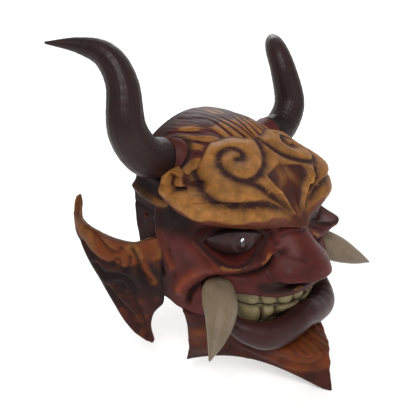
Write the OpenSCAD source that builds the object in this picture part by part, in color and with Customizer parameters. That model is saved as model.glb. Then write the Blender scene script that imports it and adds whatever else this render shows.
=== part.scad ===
// Horned demon mask, carved and assembled from joined blocks of wood.
// Frame: origin midway between the two cord holes, +X to the mask's own left,
// -Y out of the face, +Z up. Millimetres.

/* [Head] */
// Half the width of the face at the temples
face_half_w = 79; // [70:1:90]
// Depth of the forehead in front of the back rim
face_depth = 90; // [80:1:105]
// Height of the crown above the cord holes
crown_h = 71; // [63:1:81]
// Distance of the back rim behind the cord holes
rim_back = 13; // [11:1:17]
// Backward lean of the rim, in millimetres for each millimetre of height
rim_lean = 0.25; // [0.2:0.01:0.3]
// Thickness of the carved wall
wall = 8; // [6:0.5:10]
// How square the face is in plan
squareness = 2.8; // [2.4:0.1:3.2]
// How far the mouth stands ahead of the forehead
muzzle_h = 12; // [6:1:16]
// How far the middle of the mouth stands ahead of the rest of the muzzle
snout_h = 11; // [7:1:13]
// How far the nose stands out of the face
nose_h = 29; // [22:1:34]
// Radius of the two cord holes
cord_hole_r = 2.5; // [2:0.25:3.5]

/* [Brow] */
// How far the brow stands out over the eyes
brow_t = 19; // [15:0.5:22]
// Glue line between two pieces that are glued face to face
glue = 0.3; // [0.2:0.1:0.5]

/* [Horns] */
// Radius of a horn at its seat
horn_r = 15; // [13:0.5:17]
// Height of a horn above its seat
horn_rise = 82; // [70:1:95]
// Radius of the dowel that holds a horn
horn_dowel_r = 4; // [3:0.5:5]
// Length of the dowel that holds a horn
horn_dowel_l = 38; // [34:1:42]

/* [Tusks] */
// Radius of a tusk at its seat
tusk_r = 11.5; // [10:0.5:13]
// Radius of the pin that holds a tusk
tusk_pin_r = 2; // [1.5:0.25:2.5]
// Length of the pin that holds a tusk
tusk_pin_l = 22; // [18:1:26]

/* [Mouth] */
// Radius of the lower lip at its middle
lip_r = 11; // [9:0.5:13]
// Height of the upper lip's edge
upper_lip_z = -53; // [-56:1:-50]
// Thickness of the tooth strips
tooth_t = 6; // [5:0.5:8]

/* [Chin] */
// Height of the chin's point
chin_z = -137; // [-145:1:-128]
// How far the chin's point stands ahead of the forehead
chin_jut = 49; // [40:1:54]
// Thickness of the chin apron
apron_t = 6; // [5:0.5:8]

/* [Wings] */
// Thickness of a wing
wing_t = 5; // [4:0.5:7]
// Radius of the bamboo pins in the wings, chin, lip and brow
peg_r = 1.5; // [1:0.25:2]

/* [Eyes] */
// Radius of the eyeball
eye_r = 30; // [27:1:34]
// Thickness of the eyeball's wall
eye_t = 10; // [8:0.5:12]

/* [Pads] */
// Thickness of the forehead and cheek pads
pad_t = 8; // [6:1:10]

/* [Hidden] */

hub_z = -16;                    // height of the widest level of the face
jaw_z = -66;                    // height of the shell's lower edge at the sides
fine = 48;

// ---------- numbers and grids ----------
function smooth(x) = let (t = min(1, max(0, x))) t * t * (3 - 2 * t);
function bump(v, middle, spread) = exp(-pow((v - middle) / spread, 2));
function mix(a, b, t) = a + (b - a) * t;
function unit(v) = v / norm(v);

// One closed solid between two grids of points, outer and inner, each a list of rows.
module sheet(outer, inner) {
    rows = len(outer);
    cols = len(outer[0]);
    n = rows * cols;
    points = concat([for (r = outer) for (p = r) p], [for (r = inner) for (p = r) p]);
    function at(side, r, c) = side * n + r * cols + c;
    front = [for (r = [0:rows - 2]) for (c = [0:cols - 2]) each
        [[at(0, r, c), at(0, r + 1, c), at(0, r + 1, c + 1)],
         [at(0, r, c), at(0, r + 1, c + 1), at(0, r, c + 1)]]];
    rear = [for (r = [0:rows - 2]) for (c = [0:cols - 2]) each
        [[at(1, r, c), at(1, r + 1, c + 1), at(1, r + 1, c)],
         [at(1, r, c), at(1, r, c + 1), at(1, r + 1, c + 1)]]];
    row_ends = [for (c = [0:cols - 2]) each
        [[at(0, 0, c), at(0, 0, c + 1), at(1, 0, c + 1)],
         [at(0, 0, c), at(1, 0, c + 1), at(1, 0, c)],
         [at(0, rows - 1, c), at(1, rows - 1, c + 1), at(0, rows - 1, c + 1)],
         [at(0, rows - 1, c), at(1, rows - 1, c), at(1, rows - 1, c + 1)]]];
    col_ends = [for (r = [0:rows - 2]) each
        [[at(0, r, 0), at(1, r + 1, 0), at(0, r + 1, 0)],
         [at(0, r, 0), at(1, r, 0), at(1, r + 1, 0)],
         [at(0, r, cols - 1), at(0, r + 1, cols - 1), at(1, r + 1, cols - 1)],
         [at(0, r, cols - 1), at(1, r + 1, cols - 1), at(1, r, cols - 1)]]];
    polyhedron(points, concat(front, rear, row_ends, col_ends), convexity = 10);
}

// A smooth curve through a list of points, k in 0 .. len - 1.
function curve(p, k) =
    let (n = len(p) - 1, i = min(n - 1, max(0, floor(k))), t = k - i,
         a = i > 0 ? p[i - 1] : 2 * p[0] - p[1], b = p[i], c = p[i + 1],
         d = i + 2 <= n ? p[i + 2] : 2 * p[n] - p[n - 1])
    0.5 * (2 * b + (c - a) * t + (2 * a - 5 * b + 4 * c - d) * t * t
           + (3 * b - a - 3 * c + d) * t * t * t);

// A round bar of changing radius along a smooth curve, with flat ends.
module bar(path, radii, side, steps, sides = 20) {
    last = len(path) - 1;
    function ring(k) =
        let (c = curve(path, k), r = curve(radii, k),
             ahead = unit(curve(path, min(last, k + 0.02)) - curve(path, max(0, k - 0.02))),
             u = unit(side - (side * ahead) * ahead), v = cross(ahead, u))
        [for (i = [0:sides - 1]) c + r * (cos(360 * i / sides) * u + sin(360 * i / sides) * v)];
    points = [for (s = [0:steps]) each ring(last * s / steps)];
    walls = [for (s = [0:steps - 1]) for (i = [0:sides - 1])
        let (j = (i + 1) % sides, a = s * sides, b = a + sides) each
        [[a + i, b + i, b + j], [a + i, b + j, a + j]]];
    foot = [for (i = [0:sides - 1]) i];
    top = [for (i = [sides - 1:-1:0]) steps * sides + i];
    polyhedron(points, concat([foot], [top], walls), convexity = 6);
}

// Places its children with their +Z along a direction.
module aim(p, d) {
    translate(p)
        rotate([0, acos(d[2] / norm(d)), atan2(d[1], d[0])])
            children();
}

module both() {
    children();
    mirror([1, 0, 0]) children();
}

// ---------- the face's surface ----------
// a is the angle about the vertical from straight ahead, positive to the mask's left.
// Every level is drawn about the middle of the leaning back rim.
function hub_y(z) = rim_back + rim_lean * z - 7 * smooth((z - 40) / 34);
function level(z) = z > hub_z ? (z - hub_z) / (crown_h - hub_z) : (z - hub_z) / (hub_z - jaw_z);
function dome(z) = pow(max(0, 1 - pow(max(0, level(z)), 2.15)), 1 / 2.15);
function half_width(z) = face_half_w * dome(z);
function half_depth(z) = let (u = level(z))
    (face_depth + hub_y(z) - rim_back) * dome(z) + muzzle_h * smooth(-u * 1.1);
function square_at(z) = let (u = max(0, level(z))) squareness - 0.7 * u * u;
function plan_radius(a, w, d, n) =
    pow(pow(abs(sin(a)) / max(w, 0.01), n) + pow(abs(cos(a)) / max(d, 0.01), n), -1 / n);
nose_base_z = -46;              // height of the nose's underside
nose_root_z = 4;                // height where the nose begins, under the brow
function nose_width(z) = 9 + 13 * smooth((nose_root_z - z) / 44);
function nose(c, z) = nose_h * pow(smooth((nose_root_z + 4 - z) / 44), 0.8)
    * (1 - smooth((nose_base_z + 3 - z) / 7)) * exp(-pow(abs(c) / nose_width(z), 2.6));
function cheek(c, z) = 15 * bump(abs(c), 54, 18) * bump(z, -22, 12);
function socket(c, z) = -5 * bump(abs(c), 54, 24) * bump(z, -2, 9);
// The middle of the mouth stands out and falls back again below the teeth.
snout_top_z = nose_base_z + 18;
function snout(a, z) = snout_h * bump(a, 0, 24) * smooth((snout_top_z - z) / 22)
    * (1 - smooth((upper_lip_z - 15 - z) / 14));
function skin_point(a, z, relief, out = 0) =
    let (c = face_half_w * a * PI / 180,
         r = plan_radius(a, half_width(z), half_depth(z), square_at(z)) + out
             + snout(a, z) + relief * (nose(c, z) + cheek(c, z) + socket(c, z)))
    [r * sin(a), hub_y(z) - r * cos(a), z];
function face_point(a, z) = skin_point(a, z, 1);
// A point at a depth t behind the face, moved towards the middle of the hollow.
hollow_z = 20;
function inner_point(a, z, t) =
    let (p = skin_point(a, z, 0.4), c = [0, hub_y(min(z, hollow_z)), min(z, hollow_z)])
    p + t * unit(c - p);
// The plain plan of the face without nose, cheeks and eyes.
function plan_point(a, z, inset, ahead = 0) =
    let (r = plan_radius(a, half_width(z) - inset, half_depth(z) - inset, square_at(z)) + ahead)
    [r * sin(a), hub_y(z) - r * cos(a), z];

// ---------- horns ----------
horn_turn = 66;                 // angle of a horn's seat from straight ahead
horn_out = 3.2;                 // how far a horn's seat stands out of the plain plan
horn_seat = plan_point(horn_turn, crown_h - 28, -horn_out);
horn_path = [for (step = [[0, 0, 0], [18, 0, 5], [31, 1, 25], [28, 8, 55], [31, 20, 73],
                          [43, 34, horn_rise - 2], [61, 48, horn_rise]])
    horn_seat + step];
horn_radii = [horn_r, horn_r, horn_r - 1.2, horn_r - 3.6, horn_r - 5.6, horn_r - 9.5, 0.8];
horn_aim = unit(horn_path[1] - horn_path[0]);
horn_socket = 22;               // depth of the dowel's hole in the horn
seat_room = 1;                  // how much wider than the horn or tusk its seat is cut
boss_depth = 14;                // thickness of wood left behind a horn's seat
module horn_bore() {
    aim(horn_seat, horn_aim)
        translate([0, 0, horn_socket - horn_dowel_l])
            cylinder(h = horn_dowel_l, r = horn_dowel_r, $fn = fine);
}
module horn_boss() {
    aim(horn_seat, horn_aim)
        translate([0, 0, -boss_depth])
            cylinder(h = boss_depth - glue, r = horn_r + seat_room, $fn = fine);
}
// The seat is a flat round bed for the foot of the horn.
module horn_seat_cut() {
    aim(horn_seat, horn_aim)
        translate([0, 0, -glue]) cylinder(h = 26, r = horn_r + seat_room, $fn = fine);
}
module left_horn() {
    color([0.13, 0.09, 0.09]) difference() {
        bar(horn_path, horn_radii, [0.6, -0.8, 0], 26, 18);
        horn_bore();
    }
}
module left_horn_dowel() {
    color([0.72, 0.55, 0.35]) horn_bore();
}

// ---------- tusks ----------
tusk_turn = 44.4;               // angle of a tusk's seat from straight ahead
tusk_in = 7.6;                  // how far a tusk's seat stands inside the plain plan
tusk_seat = plan_point(tusk_turn, upper_lip_z + 10, tusk_in);
tusk_path = [for (step = [[0, 0, 0], [8, -9, -3.5], [17, -20, -9.5], [31, -30, -18], [46, -37.5, -26]])
    tusk_seat + step];
tusk_radii = [tusk_r, tusk_r + 0.6, tusk_r, tusk_r - 4.5, 0.7];
tusk_aim = unit(tusk_path[1] - tusk_path[0]);
tusk_socket = 13;               // depth of the pin's hole in the tusk
module tusk_bore() {
    aim(tusk_seat, tusk_aim)
        translate([0, 0, tusk_socket - tusk_pin_l])
            cylinder(h = tusk_pin_l, r = tusk_pin_r, $fn = fine);
}
// The seat is a round socket cut square to the tusk into the corner of the mouth.
module tusk_socket_cut() {
    aim(tusk_seat, tusk_aim)
        translate([0, 0, -glue]) cylinder(h = 40, r = tusk_r + seat_room, $fn = fine);
}
module left_tusk() {
    color([0.62, 0.55, 0.44]) difference() {
        bar(tusk_path, tusk_radii, [0, 0, 1], 18, 16);
        tusk_bore();
    }
}
module left_tusk_pin() {
    color([0.8, 0.68, 0.45]) tusk_bore();
}

// ---------- eyes ----------
eye_turn = 33;                  // angle of an eye's middle from straight ahead
eye_z = -10;
eye_w = 46;                     // width of the opening between the lids
eye_h = 17;                     // height of the opening between the lids
pupil_w = 3;
pupil_h = 7.5;
pupil_in = 5;                   // the pupil lies this far towards the nose from the eye's middle
eye_proud = 1;                  // how far the eyeball stands out of its socket
eye_aim = [sin(eye_turn), -cos(eye_turn), -0.06];
eye_hub = face_point(eye_turn, eye_z) + (eye_proud - eye_r) * unit(eye_aim);
lid_r = (eye_w * eye_w / 4 + eye_h * eye_h / 4) / eye_h;
module eye_lens(room, foot) {
    translate([0, 0, foot]) linear_extrude(height = eye_r + 20 - foot)
        intersection() {
            translate([lid_r - eye_h / 2, 0]) circle(r = lid_r + room, $fn = 96);
            translate([eye_h / 2 - lid_r, 0]) circle(r = lid_r + room, $fn = 96);
        }
}
// The pupil is an upright slit with round ends.
module pupil() {
    half = (pupil_h - pupil_w) / 2;
    translate([0, -pupil_in, 0]) {
        for (end = [-half, half])
            translate([end, 0, 0]) cylinder(h = 2 * eye_r, r = pupil_w / 2, $fn = fine);
        translate([-half, -pupil_w / 2, 0]) cube([2 * half, pupil_w, 2 * eye_r]);
    }
}
module left_eye() {
    color([0.1, 0.06, 0.06]) aim(eye_hub, eye_aim) difference() {
        intersection() {
            difference() {
                sphere(r = eye_r, $fn = 64);
                sphere(r = eye_r - eye_t, $fn = 64);
            }
            eye_lens(0, eye_r - 14);
        }
        pupil();
        // the wall is thinned from behind around the pupil so that the wearer sees out
        translate([0, -pupil_in, 0]) cylinder(h = eye_r - 3, r = pupil_h / 2 + 1.5, $fn = fine);
    }
}
module eye_hole() {
    aim(eye_hub, eye_aim) eye_lens(glue, 0);
}

// ---------- brow ----------
brow_end = 66;                  // angle where the brow ends at the temple
brow_gap = 0.6;                 // glue line between brow and forehead
brow_cols = 30;
brow_rows = 14;
function brow_low(a) = -6 + 0.25 * a + 12 * pow(max(0, a - 40) / 26, 2.2);
function brow_high(a) = crown_h - 17 + 3 * bump(a, 20, 12) - 20 * smooth((a - 34) / 16);
// The lower edge is a heavy roll; above it the brow falls back to the hair.
function brow_height(a, v) =
    let (t = brow_t * (0.62 + 0.38 * smooth((a - 2) / 30) - 0.3 * smooth((a - 48) / 18)),
         roll = sqrt(max(0, 1 - pow(1 - min(1, v / 0.45), 2))),
         back = 1 - 0.75 * smooth((v - 0.45) / 0.55),
         groove = 0.7 * bump(a, 0, 7) * smooth((v - 0.2) / 0.2) * (1 - smooth((v - 0.8) / 0.2)))
    mix(8, t, roll) * back * (1 - groove);
module left_brow() {
    function grid(outside) = [for (i = [0:brow_rows]) let (v = i / brow_rows)
        [for (j = [0:brow_cols]) let (a = mix(0.15, brow_end, j / brow_cols))
            skin_point(a, mix(brow_low(a), brow_high(a), v), 1,
                       outside ? brow_height(a, v) : brow_gap)]];
    color([0.58, 0.35, 0.13]) difference() {
        sheet(grid(true), grid(false));
        horn_seat_cut();
        horn_boss();
        brow_bores();
    }
}
brow_peg_turns = [20, 46];      // angles of the two bamboo pins in each half of the brow
brow_peg_l = 15;
module brow_bores() {
    for (a = brow_peg_turns)
        aim(plan_point(a, mix(brow_low(a), brow_high(a), 0.4), wall), [sin(a), -cos(a), 0])
            cylinder(h = brow_peg_l, r = peg_r, $fn = fine);
}
module left_brow_pins() {
    color([0.8, 0.68, 0.45]) brow_bores();
}

// ---------- teeth ----------
tooth_in = wall + 0.5;          // how far the teeth stand behind the face
upper_tooth_step = 8.5;         // angle from one upper tooth to the next
lower_tooth_step = 7;           // angle from one lower tooth to the next
tooth_cols = 60;
tooth_reach = 40;               // angle where the rows of teeth end, behind the tusks
// The row of teeth is rounder in plan than the face.
function tooth_inset(a) = tooth_in + 1.6 + 7 * smooth((abs(a) - 28) / 12);
function bite_z(a) = upper_lip_z - 14 + 6 * smooth(abs(a) / 36);
// Rounds each tooth between its two gaps.
function tooth_round(a, step, reach) =
    abs(a) > reach - 0.1 ? 0 : 1.5 * sqrt(abs(cos(180 * a / step)));
// edges(a) gives the heights of the strip's lower and upper edges.
module tooth_strip(reach, step, edges) {
    function grid(inset, round) = [for (i = [0:3]) [for (j = [0:tooth_cols])
        let (a = mix(-reach, reach, j / tooth_cols), e = edges(a), z = mix(e[0], e[1], i / 3))
        plan_point(a, z, tooth_inset(a) + inset - round * tooth_round(a, step, reach),
                   snout(a, z))]];
    sheet(grid(0, 1), grid(tooth_t, 0));
}
module upper_teeth() {
    color([0.45, 0.42, 0.27])
        tooth_strip(tooth_reach, upper_tooth_step,
                    function(a) [bite_z(a) + glue / 2, shell_low(a) + 3]);
}
// The lower teeth are hollowed in front where they lie against the lip.
module lower_teeth() {
    color([0.45, 0.42, 0.27]) difference() {
        tooth_strip(tooth_reach, lower_tooth_step,
                    function(a) [apron_front_z + glue, bite_z(a) - glue / 2]);
        lip_bed();
    }
}

// ---------- lower lip ----------
// Each place is [angle, depth of the lip's back behind the plain plan, below the upper lip].
lip_path = [for (place = [[-45.6, 20.8, -12], [-38, 14, -24], [-25.4, 8.4, -31], [-12.4, 5.5, -30],
                          [0, 5, -27], [12.4, 5.5, -30], [25.4, 8.4, -31], [38, 14, -24],
                          [45.6, 20.8, -12]])
    plan_point(place[0], upper_lip_z + place[2], place[1] - lip_r)];
lip_radii = [lip_r - 6, lip_r - 3, lip_r, lip_r, lip_r, lip_r, lip_r, lip_r - 3, lip_r - 6];
module lip_bar(room) {
    bar(lip_path, [for (r = lip_radii) r + room], [0, 0, 1], 40, 16);
}
// The bed is the hollow that the lip lies in, cut from what stands behind it.
module lip_bed() {
    lip_bar(glue);
}
module lower_lip() {
    color([0.2, 0.1, 0.11]) difference() {
        lip_bar(0);
        lip_bores();
    }
}
lip_peg_turns = [-24, 0, 24];
lip_peg_l = 18;
module lip_bores() {
    for (a = lip_peg_turns)
        aim(plan_point(a, apron_front_z - 4, tooth_in + apron_t + 3), [sin(a), -cos(a), 0.2])
            cylinder(h = lip_peg_l, r = peg_r, $fn = fine);
}
module lip_pins() {
    color([0.8, 0.68, 0.45]) lip_bores();
}

// ---------- chin apron ----------
apron_front_z = upper_lip_z - 31;  // height of the apron's upper edge behind the lip
apron_turn = 66;                // angle where the apron ends at the jaw
apron_side_w = face_half_w - 9; // half the width of the apron's foot
apron_side_y = rim_back - 47;   // the foot's corner under the jaw
apron_side_z = jaw_z - 51;
apron_arch = 11;                // how far the foot's edge rises between corner and point
keel_jut = 22;                  // how far the keel stands ahead of a straight chin
apron_cols = 40;
apron_rows = 12;
function apron_top(a) = mix(apron_front_z, shell_low(a) - glue, smooth((abs(a) - 38) / 14));
// The apron's head stands back behind the lip, furthest where the lip ends.
function lip_room(a) = (8 + 4 * bump(abs(a), 44, 8)) * (1 - smooth((abs(a) - 50) / 12));
function apron_head(a, inset) = plan_point(a, apron_top(a), inset + lip_room(a));
// Below the lip the apron juts forward to the keel of the chin.
// q runs from the point of the chin, 0, to the corner under the jaw, 1.
function apron_foot(a, inset) = let (q = abs(a) / apron_turn, side = a < 0 ? -1 : 1)
    [side * mix(0, apron_side_w - inset, q),
     mix(rim_back - face_depth - chin_jut + 1.6 * inset, apron_side_y, q),
     mix(apron_side_z, chin_z, pow(1 - q, 1.6)) + apron_arch * sin(180 * pow(q, 1.15))];
function apron_point(a, s, inset) =
    let (q = abs(a) / apron_turn, h = apron_head(a, inset), f = apron_foot(a, inset),
         p = h + s * (f - h),
         jut = mix(keel_jut, 3, smooth(q * 1.5)) * smooth((apron_front_z - 8 - p[2]) / 10)
               * min(1, (1 - s) / 0.6)
               + 6 * sin(180 * pow(s, 0.6)) * smooth((q - 0.7) / 0.3))
    p - [0, jut, 0];
module chin_apron() {
    function grid(inset) = [for (i = [0:apron_rows]) [for (j = [0:apron_cols])
        apron_point(mix(apron_turn, -apron_turn, j / apron_cols), i / apron_rows, inset)]];
    color([0.45, 0.22, 0.1]) difference() {
        sheet(grid(0), grid(apron_t));
        lip_bed();
        lip_bores();
        both() apron_bores();
    }
}
apron_peg_turn = 60;
apron_peg_l = 16;
module apron_bores() {
    translate(plan_point(apron_peg_turn, jaw_z, wall / 2) - [0, 0, apron_peg_l / 2])
        cylinder(h = apron_peg_l, r = peg_r, $fn = fine);
}
module apron_pins() {
    color([0.8, 0.68, 0.45]) both() apron_bores();
}

// ---------- wings ----------
// The wing is one board, bent in plan along wing_plan and cut to two edges.
// Each edge is a list of [place along the plan, height].
wing_plan = [for (step = [[-4, -30], [4, -19], [11.5, -10], [18, 1], [23, 13],
                          [26, 27], [25, 40], [19, 50], [12, 58]])
    [face_half_w + step[0], rim_back + step[1]]];
wing_inner = [[8, 5], [7, -4.5], [6, -9], [4.5, -14], [3, -18.5], [1.6, -19.5], [0, -13],
              [0, -30], [0, -48], [0, -66], [0.7, -79], [1, -93], [0.8, -108]];
wing_outer = [[8, 5], [7.5, -1], [7, -6], [6.5, -13], [6, -21], [5.5, -31], [4.9, -42],
              [4.3, -53], [3.8, -64], [3.3, -75], [2.8, -86], [2.1, -97], [0.8, -108]];
wing_rows = 26;
wing_cols = 8;
function wing_normal(k) =
    let (last = len(wing_plan) - 1,
         d = curve(wing_plan, min(last, k + 0.05)) - curve(wing_plan, max(0, k - 0.05)))
    unit([d[1], -d[0]]);
function wing_point(k, z, side) = let (p = curve(wing_plan, k) + side * wing_normal(k)) [p[0], p[1], z];
module wing_board() {
    last = len(wing_inner) - 1;
    function grid(side) = [for (i = [0:wing_rows]) [for (j = [0:wing_cols])
        let (v = mix(0.15, last - 0.1, i / wing_rows),
             e = mix(curve(wing_inner, v), curve(wing_outer, v), j / wing_cols))
        wing_point(e[0], e[1], side * mix(0.6, wing_t / 2, smooth(v)))]];
    sheet(grid(-1), grid(1));
}
module left_wing() {
    color([0.45, 0.22, 0.1]) difference() {
        wing_board();
        // the root is planed flat against the side of the face
        translate([0, -150, -200]) cube([face_half_w + glue, 300, 400]);
        wing_bores();
    }
}
wing_peg_z = [-30, -54];
wing_peg_l = 17;
wing_peg_in = 4;                // how far a pin goes into the wall behind the wing's root
module wing_bores() {
    root = wing_plan[0];
    along = wing_plan[1] - root;
    for (z = wing_peg_z)
        aim([root[0], root[1], z], [along[0], along[1], 0])
            translate([0, 0, -wing_peg_in]) cylinder(h = wing_peg_l, r = peg_r, $fn = fine);
}
module left_wing_pins() {
    color([0.8, 0.68, 0.45]) wing_bores();
}

// ---------- pads ----------
module pad(a0, a1, z0, z1) {
    n = 8;
    function swell(i, j) = 1.5 + (pad_t - 1.5) * sqrt(sin(180 * i / n) * sin(180 * j / n));
    function grid(face) = [for (i = [0:n]) [for (j = [0:n])
        inner_point(mix(a0, a1, j / n), mix(z0, z1, i / n), wall + 1 + (face ? swell(i, j) : 0))]];
    sheet(grid(false), grid(true));
}
module forehead_pad() {
    color([0.85, 0.82, 0.75]) pad(-22, 22, 18, 42);
}
// The cheek pads begin beside the seats of the tusks.
cheek_pad_turn = tusk_turn
    + asin(tusk_r / norm([tusk_seat[0], hub_y(tusk_seat[2]) - tusk_seat[1]]));
module left_cheek_pad() {
    color([0.85, 0.82, 0.75]) pad(cheek_pad_turn, 72, -50, -28);
}

// ---------- face shell ----------
shell_cols = 44;
shell_rows = 38;
corner_rise = 7;                // how far the upper lip rises towards the tusks
// The lower edge follows the upper lip and drops to the jaw at the sides.
function shell_low(a) = upper_lip_z + corner_rise * smooth((abs(a) - 14) / 24)
    + (jaw_z - upper_lip_z - corner_rise) * smooth((abs(a) - 38) / 12) + 5 * bump(abs(a), 77, 8);
crown_gap = 0.003;              // the crown is left this far short of a point
module shell_skin() {
    function height(a, i) = mix(shell_low(a), crown_h - crown_gap, sin(90 * i / shell_rows));
    function grid(hollow) = [for (i = [0:shell_rows])
        [for (j = [0:shell_cols]) let (a = mix(-90, 90, j / shell_cols), z = height(a, i))
            hollow ? inner_point(a, z, wall) : face_point(a, z)]];
    sheet(grid(false), grid(true));
}
module cord_holes() {
    rotate([0, 90, 0]) cylinder(h = 4 * face_half_w, r = cord_hole_r, center = true, $fn = fine);
}
module face_shell() {
    color([0.3, 0.13, 0.11]) difference() {
        union() {
            shell_skin();
            both() horn_boss();
        }
        cord_holes();
        both() {
            horn_bore();
            horn_seat_cut();
            tusk_socket_cut();
            tusk_bore();
            eye_hole();
            brow_bores();
            wing_bores();
            apron_bores();
        }
    }
}

face_shell();
left_brow();
mirror([1, 0, 0]) left_brow();  // right_brow
left_horn();
mirror([1, 0, 0]) left_horn();  // right_horn
left_horn_dowel();
mirror([1, 0, 0]) left_horn_dowel();  // right_horn_dowel
left_eye();
mirror([1, 0, 0]) left_eye();  // right_eye
left_wing();
mirror([1, 0, 0]) left_wing();  // right_wing
left_wing_pins();
mirror([1, 0, 0]) left_wing_pins();  // right_wing_pins
chin_apron();
apron_pins();
lower_lip();
lip_pins();
upper_teeth();
lower_teeth();
left_tusk();
mirror([1, 0, 0]) left_tusk();  // right_tusk
left_tusk_pin();
mirror([1, 0, 0]) left_tusk_pin();  // right_tusk_pin
left_brow_pins();
mirror([1, 0, 0]) left_brow_pins();  // right_brow_pins
forehead_pad();
left_cheek_pad();
mirror([1, 0, 0]) left_cheek_pad();  // right_cheek_pad
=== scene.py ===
"""A lacquered demon mask: a hollow face with brow, horns, eyes, teeth, tusks, lip, chin and wings."""
import math

import bmesh
import bpy
import numpy as np
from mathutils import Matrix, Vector


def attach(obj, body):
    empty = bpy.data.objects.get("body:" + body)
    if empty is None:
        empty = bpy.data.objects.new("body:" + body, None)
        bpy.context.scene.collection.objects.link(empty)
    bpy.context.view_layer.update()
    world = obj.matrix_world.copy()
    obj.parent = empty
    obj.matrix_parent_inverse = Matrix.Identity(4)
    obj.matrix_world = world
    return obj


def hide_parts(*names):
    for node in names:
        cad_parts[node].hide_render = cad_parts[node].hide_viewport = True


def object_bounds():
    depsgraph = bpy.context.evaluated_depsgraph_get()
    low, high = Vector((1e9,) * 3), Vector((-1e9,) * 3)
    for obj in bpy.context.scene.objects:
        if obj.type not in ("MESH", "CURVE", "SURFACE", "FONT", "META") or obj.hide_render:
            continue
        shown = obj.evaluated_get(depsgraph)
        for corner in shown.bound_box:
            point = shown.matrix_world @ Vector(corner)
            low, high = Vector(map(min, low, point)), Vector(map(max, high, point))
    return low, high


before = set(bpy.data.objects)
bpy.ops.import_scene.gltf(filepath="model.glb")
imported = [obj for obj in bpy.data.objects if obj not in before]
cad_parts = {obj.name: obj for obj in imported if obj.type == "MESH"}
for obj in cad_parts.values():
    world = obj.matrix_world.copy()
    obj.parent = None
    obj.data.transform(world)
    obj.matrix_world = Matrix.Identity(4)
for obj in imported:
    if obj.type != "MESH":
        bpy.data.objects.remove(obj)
cad_box = [list(corner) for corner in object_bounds()]

# ---------------------------------------------------------------- stand
# The camera, a pale sweep that bends up behind the mask, and soft lamps.
# The sweep and the lamps are not part of the object.
view = bpy.data.cameras.new("view")
view.sensor_width = 36
view.lens = 43.457
view.clip_end = 20
camera = bpy.data.objects.new("view", view)
camera.location = (-0.2990, -0.2900, 0.1359)
aimed_at = Vector((0, 0.009, -0.018))
camera.rotation_euler = (aimed_at - camera.location).to_track_quat("-Z", "Y").to_euler()
bpy.context.scene.collection.objects.link(camera)
bpy.context.scene.camera = camera
bpy.context.scene.view_settings.view_transform = "Standard"

floor_z = cad_box[0][2] - 0.002
sweep_profile = [(-2.4, floor_z), (0.9, floor_z), (1.35, floor_z + 0.06), (1.65, floor_z + 0.3),
                 (1.75, floor_z + 0.8), (1.75, floor_z + 3.0)]
sweep_mesh = bpy.data.meshes.new("sweep")
sweep_mesh.from_pydata(
    [(side, y, z) for y, z in sweep_profile for side in (-4.0, 4.0)], [],
    [(2 * i, 2 * i + 1, 2 * i + 3, 2 * i + 2) for i in range(len(sweep_profile) - 1)])
sweep_mesh.shade_smooth()
sweep = bpy.data.objects.new("sweep", sweep_mesh)
bpy.context.scene.collection.objects.link(sweep)
sweep.rotation_euler = (0, 0, math.radians(-45))
bend = sweep.modifiers.new("soft", "SUBSURF")
bend.levels = bend.render_levels = 2
sweep_paint = bpy.data.materials.new("sweep")
sweep_paint.use_nodes = True
for socket, value in (("Base Color", (0.93, 0.93, 0.93, 1)), ("Roughness", 0.95),
                      ("Emission Color", (1, 1, 1, 1)), ("Emission Strength", 0.34)):
    sweep_paint.node_tree.nodes["Principled BSDF"].inputs[socket].default_value = value
sweep_mesh.materials.append(sweep_paint)

sky = bpy.data.worlds.new("room")
sky.use_nodes = True
sky.node_tree.nodes["Background"].inputs["Color"].default_value = (1.0, 1.0, 1.0, 1)
sky.node_tree.nodes["Background"].inputs["Strength"].default_value = 0.5
bpy.context.scene.world = sky


def lamp(name, place, size, watts, warmth=(1, 1, 1)):
    light = bpy.data.lights.new(name, "AREA")
    light.shape, light.size, light.energy, light.color = "DISK", size, watts, warmth
    stand = bpy.data.objects.new(name, light)
    stand.location = place
    stand.rotation_euler = (Vector((0, -0.03, -0.02)) - Vector(place)).to_track_quat("-Z", "Y").to_euler()
    bpy.context.scene.collection.objects.link(stand)


lamp("key", (-0.85, -0.75, 1.25), 0.7, 12.5, (1.0, 0.98, 0.95))
lamp("fill", (0.2, -1.5, 0.35), 1.0, 2)
lamp("rim", (0.9, 0.9, 1.0), 0.8, 6)

# ---------------------------------------------------------------- face
# The face is one hollowed block, dark red lacquer outside and bare wood inside. Folds,
# lids, nostrils and the swept-back hair are carved; horns, eyes and tusks sit in cut seats.
MM = 0.001
SIDES = (False, "left"), (True, "right")
LINE_STEPS = 6
FACE_HALF_W, FACE_DEPTH, CROWN, RIM_BACK = 79.0, 90.0, 71.0, 13.0
WALL, MUZZLE, NOSE, SNOUT = 8.0, 12.0, 29.0, 11.0
HUB, JAW, LIP_EDGE = -16.0, -66.0, -53.5


def smooth(x):
    t = np.clip(x, 0, 1)
    return t * t * (3 - 2 * t)


def bump(v, middle, spread):
    return np.exp(-((v - middle) / spread) ** 2)


def beside(distance, spread):
    """1 on a carving line, fading beside it."""
    return np.exp(-(distance / spread) ** 2)


def share(v):
    return np.clip(v, 0, 1)


def mix(a, b, t):
    return a + (b - a) * t


def curve(points, k):
    """A smooth curve through a list of points, k from 0 to the last point's number."""
    p = np.asarray(points, float)
    p = np.concatenate([[2 * p[0] - p[1]], p, [2 * p[-1] - p[-2]]])
    k = np.asarray(k, float)
    i = np.clip(np.floor(k).astype(int), 0, len(p) - 4)
    t = (k - i).reshape(k.shape + (1,) * (p.ndim - 1))
    a, b, c, d = p[i], p[i + 1], p[i + 2], p[i + 3]
    return 0.5 * (2 * b + (c - a) * t + (2 * a - 5 * b + 4 * c - d) * t * t + (3 * b - a - 3 * c + d)
                  * t ** 3)


def line(points):
    return curve(points, np.linspace(0, len(points) - 1, LINE_STEPS * (len(points) - 1) + 1))


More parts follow.
